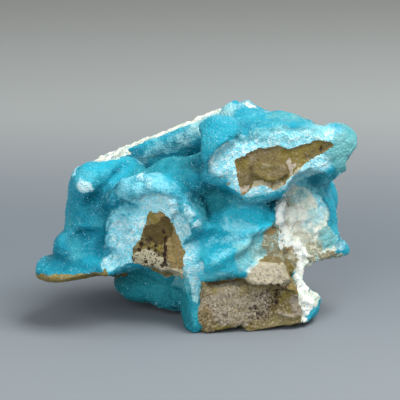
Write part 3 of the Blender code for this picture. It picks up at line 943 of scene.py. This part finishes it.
@functools.lru_cache(maxsize=1)
def stone_skin(spacing):
    """The skin of crust and matrix together, drawn at the spacing."""
    broken = broken_form()
    lattice = broken.on_grid(spacing)
    heights = GRID_LOW[2] + spacing * np.arange(lattice.shape[2])
    lattice = -soft_min(-lattice, heights[None, None, :], GROUND_BLEND)
    points, faces = surface_net(lattice, spacing)

    standing = points[:, 2] > REST_HEIGHT
    outwards = slopes(broken, points)
    away = np.clip(broken.at(points), -SETTLE_REACH, SETTLE_REACH)
    settled = points - outwards * away[:, None]
    points = np.where(standing[:, None], settled, points)
    outwards[~standing] = (0, 0, -1)

    points = fitted(points, outwards, spacing)
    loose = strayed(points)
    seams = [window_distance(loose, window) for window in WINDOWS.values()]
    values = {
        "deep": -whole_form().at(points) + 0.5 * layered_noise(points, 3.2, 77),
        "rock": boundary_at(points),
        "ring": np.minimum(seams[0], seams[1]),
        "seam": np.minimum.reduce(seams),
        "opened": broken.at(points + NEAR_LOOK * outwards) / NEAR_LOOK,
        "wide": broken.at(points + FAR_LOOK * outwards) / FAR_LOOK,
        "up": outwards[:, 2],
    }
    frayed = wandered(wandered(loose, 3, 1.4, 79), 1, 0.45, 81)
    values |= {mark: marked(frayed, places) for mark, places in PLACES.items()}
    # The ring keeps to the front and off undersides, and the shaded teal crust counts as unbroken
    values["ring"] += 8 * ease(-outwards[:, 2], 0.15, 0.5) + 20 * ease(points[:, 1], -3, 3)
    values["deep"] -= 3 * values["shaded_teal"]
    lumps, lump_own = bubble_noise(points, CRYSTAL_SIZE, 37)
    values["crystal"] = (1 - lumps ** 1.5) * (0.7 + 0.3 * lump_own)
    lift = relief(points, values)
    lift[~standing] = 0
    moved = points + outwards * lift[:, None]
    values["lift"] = lift
    return Skin(moved, outwards, faces, values)


def placed(points):
    """Points in metres of the frame, from their places in parts, kept inside the frame's box."""
    metres = PART * (np.asarray(points) - np.array(MIDDLE))
    return np.clip(metres, np.array(FRAME_LOW), np.array(FRAME_HIGH))


def piece_from(name, points, faces, values):
    """A mesh object that rides on the stone, with its values as attributes."""
    mesh = bpy.data.meshes.new(name)
    mesh.from_pydata(placed(points).tolist(), [], faces.tolist())
    for mark, numbers in values.items():
        attribute = mesh.attributes.new(mark, "FLOAT", "POINT")
        attribute.data.foreach_set("value", np.asarray(numbers, np.float32))
    mesh.shade_smooth()
    piece = bpy.data.objects.new(name, mesh)
    bpy.context.scene.collection.objects.link(piece)
    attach(piece, "root")
    return piece


def share_of_skin(skin, name, wanted):
    """The piece of the skin that holds the wanted faces."""
    faces = skin.faces[wanted]
    kept, numbers = np.unique(faces, return_inverse=True)
    values = {mark: numbers_all[kept] for mark, numbers_all in skin.values.items()}
    return piece_from(name, skin.points[kept], numbers.reshape(faces.shape), values)


def rock_faces(skin):
    """Which faces of the skin belong to the matrix."""
    return skin.values["rock"][skin.faces].mean(1) < 0


class Wire:
    """A shader's output, on which Python's operators add Math nodes."""

    def __init__(self, shader, socket):
        self.shader = shader
        self.socket = socket

    def maths(self, operation, *values):
        """A Math node on the values."""
        settings = {"operation": operation}
        return self.shader.node("ShaderNodeMath", settings, dict(enumerate(values)))

    def __add__(self, other):
        return self.maths("ADD", self, other)

    def __sub__(self, other):
        return self.maths("SUBTRACT", self, other)

    def __rsub__(self, other):
        return self.maths("SUBTRACT", other, self)

    def __mul__(self, other):
        if isinstance(other, tuple):
            settings = {"operation": "MULTIPLY"}
            return self.shader.node("ShaderNodeVectorMath", settings, {0: self, 1: other})
        return self.maths("MULTIPLY", self, other)

    __radd__ = __add__
    __rmul__ = __mul__

    def most(self, other):
        """The greater of the two."""
        return self.maths("MAXIMUM", self, other)

    def wave(self):
        """The sine."""
        return self.maths("SINE", self)


class Shader:
    """A material's node tree and the few ways that nodes are added to it."""

    def __init__(self, material):
        self.tree = material.node_tree
        self.tree.nodes.clear()

    def node(self, kind, settings, sockets, output=0):
        """Adds a node: its settings first, then the values or wires of its sockets."""
        made = self.tree.nodes.new(kind)
        for name, value in settings.items():
            setattr(made, name, value)
        for key, value in sockets.items():
            if isinstance(value, Wire):
                self.tree.links.new(value.socket, made.inputs[key])
            else:
                made.inputs[key].default_value = value
        return Wire(self, made.outputs[output] if made.outputs else None)

    def attribute(self, name):
        """A value that the mesh keeps at each point."""
        return self.node("ShaderNodeAttribute", {"attribute_name": name}, {}, "Fac")

    def place(self):
        """The place on the stone, in parts."""
        spot = self.node("ShaderNodeTexCoord", {}, {}, "Object")
        settings = {"operation": "SCALE"}
        return self.node("ShaderNodeVectorMath", settings, {0: spot, "Scale": 1 / PART})

    def noise(self, place, size, detail=2.0, roughness=0.5, distortion=0.0):
        """Noise with hills of the size in parts."""
        sockets = {
            "Vector": place, "Scale": 1 / size, "Detail": detail, "Roughness": roughness,
            "Distortion": distortion,
        }
        return self.node("ShaderNodeTexNoise", {}, sockets)

    def cells(self, place, size, output="Distance"):
        """Cells of the size in parts: the distance from each one's centre, or its own colour."""
        return self.node("ShaderNodeTexVoronoi", {}, {"Vector": place, "Scale": 1 / size}, output)

    def eased(self, value, low, high, start=0.0, end=1.0):
        """From the start at the low value to the end at the high one, with soft ends."""
        sockets = {
            "Value": value, "From Min": low, "From Max": high, "To Min": start, "To Max": end,
        }
        return self.node("ShaderNodeMapRange", {"interpolation_type": "SMOOTHSTEP"}, sockets)

    def mixed(self, share, first, second, blend="MIX"):
        """The first colour with a share of the second."""
        settings = {"data_type": "RGBA", "blend_type": blend}
        return self.node("ShaderNodeMix", settings, {0: share, 6: first, 7: second}, 2)

    def laid(self, under, over, signal, low, high, strength=1.0):
        """The colour under, with the one over laid on it as the signal goes from low to high."""
        return self.mixed(self.eased(signal, low, high, 0, strength), under, over)

    def bump(self, height, strength, distance):
        """A normal from heights."""
        sockets = {"Height": height, "Strength": strength, "Distance": distance * PART}
        return self.node("ShaderNodeBump", {}, sockets)

    def surface(self, sockets):
        """Ends the tree in a Principled shader."""
        principled = self.node("ShaderNodeBsdfPrincipled", {}, sockets)
        self.node("ShaderNodeOutputMaterial", {}, {"Surface": principled})


def new_material(name):
    """An empty node material."""
    made = bpy.data.materials.new(name)
    made.use_nodes = True
    return made


def crust_colour(shader, settings, place):
    """The crust's colours: blue skin, crystals at its edges, and pale layers where it is broken,
    with painted shade in hollows and shaded places, painted light, painted highlights on bumps and
    painted glints.
    """
    grains = shader.noise(place, 0.5, detail=3, roughness=0.75)
    patches = shader.noise(place, 7, detail=4, roughness=0.6)
    clouds = shader.noise(place, 2.4, detail=4, roughness=0.65)
    cloudy = (clouds - 0.5) * 1.6
    sandy = (grains - 0.5) * 1.6

    # Painted shade: the blue turns to the shaded blue where the skin's surroundings close in, in
    # hollows and creases
    openness = shader.attribute("opened") * 0.4 + shader.attribute("wide") * 0.6
    blue = shader.mixed(shader.eased(openness + cloudy * 0.12, 0.5, 1),
                        settings.shaded_blue, settings.bright_blue)
    # Painted light: marked crust is brightened toward a lighter blue
    blue = shader.mixed(shader.attribute("painted_light") * 0.8, blue, settings.painted_light_blue)
    # Painted shade where the skin is marked as shade
    blue = shader.mixed(shader.attribute("shade") * 0.8, blue, settings.shaded_blue)
    blue = shader.laid(blue, settings.sea_green, patches, 0.46, 0.66, 0.5)
    # Painted highlight: raised bumps of the skin turn paler
    raised = shader.eased(shader.attribute("lift") + sandy * 0.3, 0.15, 0.9)
    blue = shader.mixed(raised * 0.35, blue, settings.pale_blue)
    bloom = shader.attribute("bloom") * 0.8 + cloudy + sandy * 0.5
    blue = shader.laid(blue, settings.pale_blue, bloom, 0.3, 1.1)
    # Painted glints: white specks along noise crests and bloom stand in for the druse's sparkle
    fine = shader.noise(place, 0.32, detail=2, roughness=0.6)
    crest = shader.noise(place, 5, detail=4, roughness=0.6) - 0.5
    glint_crests = shader.eased(crest * crest, 0.0016, 0) * 0.8
    glint_crests = glint_crests + shader.attribute("bloom") * 0.5 + 0.05
    blue = shader.mixed(shader.eased(fine, 0.6, 0.74) * glint_crests, blue, settings.white)
    frost = shader.attribute("frost") + sandy * 0.9 + cloudy * 0.7
    blue = shader.laid(blue, settings.white, frost, 0.3, 1.2, 0.8)

    lumps = shader.attribute("crystal") * 0.5 + sandy * 1.1 + cloudy * 0.3
    crystals = shader.mixed(shader.eased(lumps, 0.06, 0.42), settings.ring_blue, settings.white)
    crystals = shader.laid(crystals, settings.pale_blue, clouds, 0.46, 0.6, 0.55)
    ring = shader.attribute("ring") + cloudy * 1.3 + sandy * 0.5
    colour = shader.mixed(shader.eased(ring, 4.2, 1.5), blue, crystals)

    # Maths reads each cell's own colour as a grey, which tells the shards apart
    shards = shader.cells(place * (1, 1, 0.6), 1.5, output="Color")
    cream = shader.mixed(shader.eased(grains, 0.28, 0.46), settings.tan, settings.cream)
    cream = shader.laid(cream, settings.cream_white, shards + sandy * 0.3, 0.25, 0.6)
    cream = shader.laid(cream, settings.sea_pale, clouds, 0.5, 0.64, 0.5)
    # Painted shade: torn crust turns tan in the low gaps between its blocks
    gap_shade = shader.eased(shader.attribute("lift") + sandy * 0.3, -0.2, -0.7)
    cream = shader.mixed(gap_shade * 0.5, cream, settings.tan)
    cream = shader.laid(cream, settings.tan, patches + sandy * 0.1, 0.56, 0.66, 0.4)
    streaks = shader.noise(place * (0.5, 1, 2.2), 1.6, detail=4, roughness=0.7, distortion=0.6)
    cream = shader.laid(cream, settings.tan, streaks, 0.58, 0.7, 0.5)
    deep = shader.attribute("deep") + cloudy * 0.5
    near_ring = shader.eased(shader.attribute("ring") + cloudy, 18, 13)
    torn = shader.mixed(near_ring, cream, crystals)
    torn_here = shader.eased(shader.attribute("torn") + cloudy * 0.5, 0.3, 0.7)
    torn = shader.mixed(torn_here, torn, cream)
    colour = shader.mixed(shader.eased(deep, 0.4, 1.2).most(torn_here), colour, torn)
    bands = (shader.attribute("seam") * 7.8 + cloudy * 3).wave() * 0.5 + 0.5
    striped = shader.mixed(bands, settings.band_blue, settings.band_white)
    in_bands = shader.attribute("banded") * shader.eased(deep, 0.1, 0.6)
    in_bands = in_bands * shader.eased(clouds, 0.38, 0.55)
    colour = shader.mixed(in_bands * 0.8, colour, striped)
    # Greener crust, with painted shade on the shelf, the slab's side and the hollows
    colour = shader.mixed(shader.attribute("shaded_teal") * 0.8, colour, settings.shaded_teal)
    sea = shader.mixed(clouds, settings.sea_pale, settings.pale_blue)
    sea = shader.laid(sea, settings.white, grains, 0.5, 0.62, 0.5)
    sea_here = shader.eased(shader.attribute("sea") + cloudy * 0.5, 0.3, 0.9)
    colour = shader.mixed(sea_here * 0.8, colour, sea)
    glassy = shader.eased(shader.attribute("glassy") + cloudy * 0.5 - sandy * 0.4, 0.2, 0.9)
    colour = shader.mixed(glassy * 0.85, colour, settings.glass_green)
    soil = shader.mixed(shader.eased(grains, 0.4, 0.6), settings.olive_light, settings.tan)
    soil = shader.laid(soil, settings.sea_pale, clouds, 0.54, 0.64)
    soil = shader.laid(soil, settings.dark_brown, streaks, 0.55, 0.66, 0.7)
    soil = shader.laid(soil, settings.cream, grains, 0.56, 0.66, 0.6)
    olive = shader.eased(shader.attribute("olive") + cloudy + sandy * 0.3, 0.4, 0.9)
    colour = shader.mixed(olive * 0.9, colour, soil)
    white = shader.attribute("white") + cloudy * 0.4 + sandy * 0.25
    colour = shader.laid(colour, settings.brightest, white, 0.35, 0.75)
    rust = shader.eased(shader.attribute("rust") + cloudy * 0.5 + sandy * 0.4, 0.4, 0.8)
    return shader.mixed(rust * 0.9, colour, settings.orange)


def crust_material(settings):
    """Satin blue crust with fine druse and white broken edges."""
    material = new_material("crust_blue")
    shader = Shader(material)
    place = shader.place()
    colour = crust_colour(shader, settings, place)
    grains = shader.noise(place, 0.5, detail=3, roughness=0.7)
    druse = shader.cells(place, 0.6)
    height = grains * 0.7 + druse * 0.6
    shader.surface({
        "Base Color": colour,
        "Roughness": shader.eased(grains, 0.35, 0.65, 0.28, 0.6),
        "Normal": shader.bump(height, 0.8, 0.5),
        "Specular IOR Level": 0.15,
        "Subsurface Weight": 0.12,
        "Subsurface Radius": (0.3, 0.8, 1.0),
        "Subsurface Scale": 1.2 * PART,
    })
    return material


# The marks that the matrix shows, in the order they are laid on, with their colours
ROCK_MARKS = (
    ("orange", "orange"), ("dark", "dark_brown"), ("grey", "grey"), ("cream", "cream_rock"),
    ("olive_rock", "olive_light"), ("fleck", "pink"), ("crack", "pore"),
)


def matrix_colour(shader, settings, place):
    """The matrix's colours: olive rock with orange, cream and dark places and fine pores, with
    painted shade in the nodule's crevice and in pits.
    """
    grains = shader.noise(place, 0.6, detail=4, roughness=0.75)
    clouds = shader.noise(place, 2.2, detail=4, roughness=0.65)
    patches = shader.noise(place, 6, detail=3)
    sandy = (grains - 0.5) * 1.6
    browner = shader.eased(patches + sandy * 0.1, 0.35, 0.65)
    rock = shader.mixed(browner, settings.olive, settings.brown)
    rock = shader.laid(rock, settings.tan, clouds + sandy * 0.2, 0.45, 0.75, 0.7)
    for mark, colour in ROCK_MARKS:
        share = shader.attribute(mark) + (clouds - 0.5) * 0.8 + sandy * 0.25
        rock = shader.mixed(shader.eased(share, 0.3, 0.7) * 0.9, rock, getattr(settings, colour))
    granular = shader.attribute("granular") * 0.85 + 0.15
    rock = shader.mixed(shader.eased(patches, 0.6, 0.72) * granular * 0.6, rock, settings.orange)
    rock = shader.mixed(shader.eased(grains, 0.53, 0.66) * granular * 0.7, rock, settings.pink)
    rock = shader.mixed(shader.eased(grains, 0.47, 0.36) * granular * 0.8, rock, settings.pit_brown)
    # Painted shade in the crevice round the nodule
    crevice = shader.attribute("nodule")
    rock = shader.mixed(crevice * (1 - crevice) * 1.8, rock, settings.dark_brown)
    porous = shader.attribute("porous")
    pores = shader.eased(shader.cells(place, 0.62) + sandy * 0.15, 0.46, 0.26)
    pores = pores * shader.eased(clouds, 0.38, 0.5)
    rock = shader.mixed(pores * porous.most(granular * 0.25), rock, settings.pore)
    # Painted shade: porous rock turns pore-dark where its relief sinks into pits
    pits = shader.eased(shader.attribute("lift") + sandy * 0.15, 0.1, -0.4) * porous
    return shader.mixed(pits * 0.9, rock, settings.pore)


def matrix_material(settings):
    """Matt porous brown rock."""
    material = new_material("matrix_brown")
    shader = Shader(material)
    place = shader.place()
    grains = shader.noise(place, 0.6, detail=4, roughness=0.7)
    pores = shader.cells(place, 0.8)
    shader.surface({
        "Base Color": matrix_colour(shader, settings, place),
        "Roughness": shader.eased(grains, 0.3, 0.7, 0.6, 0.9),
        "Normal": shader.bump(grains + pores * 0.5, 0.8, 0.5),
        "Specular IOR Level": 0.2,
    })
    return material


CRYSTAL_SIDES = 4
CRYSTAL_LENGTHS = (0.16, 0.42)
CRYSTAL_WIDTHS = (0.3, 0.5)
CRYSTAL_LEAN = 0.55
CRYSTAL_ROOT = 0.12


def druse_mesh(skin, count):
    """Points and faces of small pointed crystals that stand on the crust."""
    chance = np.random.default_rng(4)
    on_crust = ~rock_faces(skin)
    faces = skin.faces[on_crust]
    values = {mark: skin.values[mark][faces].mean(1) for mark in ("deep", "opened", "frost")}
    middles = skin.points[faces].mean(1)
    fields = layered_noise(middles, 4.5, 83) + 0.6 * smooth_noise(middles, 1.4, 89)
    weight = ease(fields, -0.1, 0.8) * (1 - ease(values["deep"], 0.8, 2.2) * 0.8)
    weight += 1.5 * values["frost"] + 0.06
    weight *= middles[:, 2] > 1
    chosen = chance.choice(len(faces), size=count, p=weight / weight.sum())
    base = middles[chosen]
    lean = skin.outwards[faces[chosen]].mean(1) + CRYSTAL_LEAN * chance.normal(size=(count, 3))
    lean /= np.linalg.norm(lean, axis=1, keepdims=True)
    side = np.cross(lean, chance.normal(size=(count, 3)))
    side /= np.linalg.norm(side, axis=1, keepdims=True)
    other = np.cross(lean, side)
    length = chance.uniform(*CRYSTAL_LENGTHS, (count, 1))
    width = length * chance.uniform(*CRYSTAL_WIDTHS, (count, 1))
    foot = base - lean * CRYSTAL_ROOT
    corners = [
        foot + width * (math.cos(turn) * side + 0.6 * math.sin(turn) * other)
        for turn in np.arange(CRYSTAL_SIDES) * 2 * math.pi / CRYSTAL_SIDES
    ]
    tip = base + lean * length
    points = np.stack([*corners, tip], 1).reshape(-1, 3)
    starts = np.arange(count)[:, None] * (CRYSTAL_SIDES + 1)
    sides = [
        np.concatenate([starts + i, starts + (i + 1) % CRYSTAL_SIDES, starts + CRYSTAL_SIDES], 1)
        for i in range(CRYSTAL_SIDES)
    ]
    return points, np.concatenate(sides)


def druse_material(settings):
    """Glassy pale crystals."""
    material = new_material("druse_glassy")
    shader = Shader(material)
    place = shader.place()
    tint = shader.eased(shader.noise(place, 1.2, detail=2), 0.35, 0.65)
    shader.surface({
        "Base Color": shader.mixed(tint, settings.bright_blue, settings.pale_blue),
        "Roughness": shader.eased(tint, 0, 1, 0.12, 0.3),
        "Specular IOR Level": 0.6,
    })
    return material


def colour_setting(name, description, default):
    """A colour that the user can change."""
    return bpy.props.FloatVectorProperty(
        name=name, description=description, subtype="COLOR", size=4, min=0, max=1,
        default=(*default, 1))


class SpecimenSettings(bpy.types.PropertyGroup):
    """Sizes and colours of the stone."""

    spacing: bpy.props.FloatProperty(
        name="Spacing", description="Distance between the skin's points, in parts of the width",
        default=0.39, min=0.3, max=3)
    crystals: bpy.props.IntProperty(
        name="Crystals", description="Number of small crystals on the crust",
        default=10000, min=0, max=45000)
    bright_blue: colour_setting("Bright blue", "Open parts of the blue skin", (0.012, 0.33, 0.455))
    shaded_blue: colour_setting("Deep blue", "Hollows of the blue skin", (0.003, 0.17, 0.25))
    # Painted shade of the blue skin, in its hollows and in the places marked as shade
    sea_green: colour_setting("Sea green", "Greener patches of the blue skin", (0.05, 0.38, 0.45))
    # Teal is partly the crust's greener tone and partly painted shade
    shaded_teal: colour_setting("Teal", "Shaded and greener crust", (0.012, 0.20, 0.23))
    # Painted light on the shaded parts of the blue skin
    painted_light_blue: colour_setting("Light blue", "Skin that lets light through", (0.02, 0.50, 0.66))
    pale_blue: colour_setting("Pale blue", "Bloom on the blue skin", (0.22, 0.64, 0.75))
    ring_blue: colour_setting("Ring blue", "Crystals between the white ones", (0.21, 0.67, 0.80))
    band_blue: colour_setting("Band blue", "Darker lines of the bands", (0.24, 0.56, 0.62))
    band_white: colour_setting("Band white", "Lighter lines of the bands", (0.58, 0.80, 0.82))
    brightest: colour_setting("Brightest", "White ridge of the broken crust", (0.86, 0.88, 0.82))
    glass_green: colour_setting("Glassy green", "Clear greenish crystals", (0.13, 0.41, 0.42))
    sea_pale: colour_setting("Pale sea green", "Pale broken crust by the foot", (0.38, 0.58, 0.52))
    white: colour_setting("White", "Frost and white crystals", (0.68, 0.84, 0.84))
    cream: colour_setting("Cream", "The crust's torn inner layers", (0.80, 0.82, 0.70))
    cream_white: colour_setting("Cream white", "Bright shards of broken crust", (0.84, 0.86, 0.76))
    tan: colour_setting("Tan", "Stained grains", (0.38, 0.33, 0.21))
    olive: colour_setting("Olive", "Olive rock", (0.24, 0.183, 0.04))
    olive_light: colour_setting("Light olive", "Olive stains and olive rock", (0.26, 0.21, 0.09))
    brown: colour_setting("Brown", "Brown rock", (0.19, 0.145, 0.062))
    pit_brown: colour_setting("Pit brown", "Dark specks between grains", (0.09, 0.065, 0.04))
    dark_brown: colour_setting("Dark brown", "Darkest rock", (0.085, 0.056, 0.014))
    orange: colour_setting("Orange", "Rusty rock", (0.31, 0.215, 0.08))
    grey: colour_setting("Grey", "Grey rock", (0.31, 0.265, 0.20))
    cream_rock: colour_setting("Cream rock", "Cream parts of the matrix", (0.54, 0.49, 0.33))
    pink: colour_setting("Pink", "Pinkish flecks and grains", (0.56, 0.48, 0.39))
    pore: colour_setting("Pore", "Inside the pores", (0.04, 0.02, 0.015))


class StudioSettings(bpy.types.PropertyGroup):
    """The floor and the light."""

    # Painted light and shade: the floor's greys change from front to back in place of the studio
    # light's fall
    near_floor: colour_setting("Near floor", "Floor in front of the stone", (0.215, 0.24, 0.26))
    middle_floor: colour_setting("Middle floor", "Floor behind the stone", (0.155, 0.178, 0.205))
    far_floor: colour_setting("Far floor", "Brightest floor, further back", (0.33, 0.35, 0.345))
    last_floor: colour_setting("Last floor", "The furthest floor in view", (0.30, 0.305, 0.285))
    key_power: bpy.props.FloatProperty(
        name="Key light", description="Power of the light above", default=9.8, min=0,
        unit="POWER")
    fill_power: bpy.props.FloatProperty(
        name="Fill light", description="Power of the light from the left", default=6, min=0,
        unit="POWER")
    sky: bpy.props.FloatProperty(
        name="Room light", description="Strength of the light from all round", default=0.4, min=0)


class SPECIMEN_OT_crust(bpy.types.Operator):
    """Builds the blue crust on the front, the sides and the top"""

    bl_idname = "specimen.crust"
    bl_label = "Build crust"

    def execute(self, context):
        settings = context.scene.specimen
        skin = stone_skin(settings.spacing)
        piece = share_of_skin(skin, "crust_skin", ~rock_faces(skin))
        piece.data.materials.append(crust_material(settings))
        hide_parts("hemimorphite_crust")
        return {"FINISHED"}


class SPECIMEN_OT_matrix(bpy.types.Operator):
    """Builds the brown matrix in the windows, the foot and the back"""

    bl_idname = "specimen.matrix"
    bl_label = "Build matrix"

    def execute(self, context):
        settings = context.scene.specimen
        skin = stone_skin(settings.spacing)
        piece = share_of_skin(skin, "matrix_skin", rock_faces(skin))
        piece.data.materials.append(matrix_material(settings))
        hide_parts("limonite_matrix")
        return {"FINISHED"}


class SPECIMEN_OT_druse(bpy.types.Operator):
    """Scatters small glassy crystals over the crust"""

    bl_idname = "specimen.druse"
    bl_label = "Build druse"

    def execute(self, context):
        settings = context.scene.specimen
        points, faces = druse_mesh(stone_skin(settings.spacing), settings.crystals)
        piece = piece_from("druse_crystals", points, faces, {})
        piece.data.shade_flat()
        piece.data.materials.append(druse_material(settings))
        return {"FINISHED"}


FLOOR_HALF_M = 3.0
# How far back the floor has each colour, in parts
FLOOR_STOPS = (
    (-66, "near_floor"), (61, "middle_floor"), (310, "far_floor"), (681, "last_floor"),
)


def floor_material(settings):
    """Pale floor whose grey changes with the distance from the front: painted light and shade of
    the studio, darker behind the stone and brighter further back.
    """
    material = new_material("floor_grey")
    shader = Shader(material)
    spot = shader.node("ShaderNodeTexCoord", {}, {}, "Object")
    back = shader.node("ShaderNodeSeparateXYZ", {}, {0: spot}, 1) * (1 / PART)
    colour = getattr(settings, FLOOR_STOPS[0][1])
    for (start, _), (end, name) in zip(FLOOR_STOPS, FLOOR_STOPS[1:]):
        colour = shader.mixed(shader.eased(back, start, end), colour, getattr(settings, name))
    shader.surface({"Base Color": colour, "Roughness": 0.75})
    return material


def add_floor(settings):
    """A wide floor under the stone."""
    mesh = bpy.data.meshes.new("floor")
    corners = [(-1, -1), (1, -1), (1, 1), (-1, 1)]
    points = [(x * FLOOR_HALF_M, y * FLOOR_HALF_M, 0) for x, y in corners]
    mesh.from_pydata(points, [], [(0, 1, 2, 3)])
    mesh.materials.append(floor_material(settings))
    floor = bpy.data.objects.new("floor", mesh)
    bpy.context.scene.collection.objects.link(floor)


# Places and sizes of the lights, in metres
KEY_AT = (0.36, -0.14, 0.78)
KEY_COLOUR = (1, 0.99, 0.97)
FILL_AT = (-0.35, -0.9, 0.5)
FILL_COLOUR = (0.95, 0.98, 1)
ROOM_COLOUR = (0.93, 0.97, 1, 1)
LIGHT_SIZE = 0.6
LIT_POINT = (0, 0, 0.02)


def add_light(name, at, power, colour):
    """A square light that faces the stone's middle."""
    data = bpy.data.lights.new(name, "AREA")
    data.size = LIGHT_SIZE
    data.energy = power
    data.color = colour
    light = bpy.data.objects.new(name, data)
    light.location = at
    towards = Vector(LIT_POINT) - light.location
    light.rotation_euler = towards.to_track_quat("-Z", "Y").to_euler()
    bpy.context.scene.collection.objects.link(light)


def add_room(strength):
    """Even light from all round."""
    world = bpy.data.worlds.new("room")
    world.use_nodes = True
    background = world.node_tree.nodes["Background"]
    background.inputs["Color"].default_value = ROOM_COLOUR
    background.inputs["Strength"].default_value = strength
    bpy.context.scene.world = world


CAMERA_RISE = 14.0
CAMERA_DISTANCE = 430.0
CAMERA_TARGET = (0.92, 0, 30.8)
SEEN_WIDTH = 105.2
SENSOR_MM = 36.0
VIEW_DEPTH_M = 10


def add_camera():
    """A camera at the photograph's angle, level and a little above."""
    data = bpy.data.cameras.new("camera")
    data.sensor_width = SENSOR_MM
    data.lens = SENSOR_MM / SEEN_WIDTH * CAMERA_DISTANCE
    data.clip_end = VIEW_DEPTH_M
    camera = bpy.data.objects.new("camera", data)
    rise = math.radians(CAMERA_RISE)
    towards = Vector((0, math.cos(rise), -math.sin(rise)))
    target = PART * (Vector(CAMERA_TARGET) - Vector(MIDDLE))
    camera.location = target - PART * CAMERA_DISTANCE * towards
    camera.rotation_euler = towards.to_track_quat("-Z", "Y").to_euler()
    bpy.context.scene.collection.objects.link(camera)
    bpy.context.scene.camera = camera


class SPECIMEN_OT_studio(bpy.types.Operator):
    """Adds the floor, the lights and the camera"""

    bl_idname = "specimen.studio"
    bl_label = "Add studio"

    def execute(self, context):
        settings = context.scene.studio
        add_floor(settings)
        add_light("key_light", KEY_AT, settings.key_power, KEY_COLOUR)
        add_light("fill_light", FILL_AT, settings.fill_power, FILL_COLOUR)
        context.scene.view_settings.view_transform = "Standard"
        add_room(settings.sky)
        add_camera()
        return {"FINISHED"}


class SPECIMEN_PT_panel(bpy.types.Panel):
    """Lists the settings and the steps"""

    bl_idname = "SPECIMEN_PT_panel"
    bl_label = "Hemimorphite specimen"
    bl_space_type = "VIEW_3D"
    bl_region_type = "UI"
    bl_category = "Specimen"

    def draw(self, context):
        layout = self.layout
        for operator in OPERATORS:
            layout.operator(operator.bl_idname)
        for group in (context.scene.specimen, context.scene.studio):
            for name in group.bl_rna.properties.keys():
                if name not in ("rna_type", "name"):
                    layout.prop(group, name)


OPERATORS = (SPECIMEN_OT_studio, SPECIMEN_OT_crust, SPECIMEN_OT_matrix, SPECIMEN_OT_druse)
CLASSES = (SpecimenSettings, StudioSettings, *OPERATORS, SPECIMEN_PT_panel)


def register():
    """Registers the classes and their settings."""
    for item in CLASSES:
        bpy.utils.register_class(item)
    bpy.types.Scene.specimen = bpy.props.PointerProperty(type=SpecimenSettings)
    bpy.types.Scene.studio = bpy.props.PointerProperty(type=StudioSettings)


def unregister():
    """Removes the settings and the classes."""
    del bpy.types.Scene.studio
    del bpy.types.Scene.specimen
    for item in reversed(CLASSES):
        bpy.utils.unregister_class(item)


def main():
    """Builds everything."""
    register()
    bpy.ops.specimen.studio()
    bpy.ops.specimen.crust()
    bpy.ops.specimen.matrix()
    bpy.ops.specimen.druse()


if __name__ == "__main__":
    main()
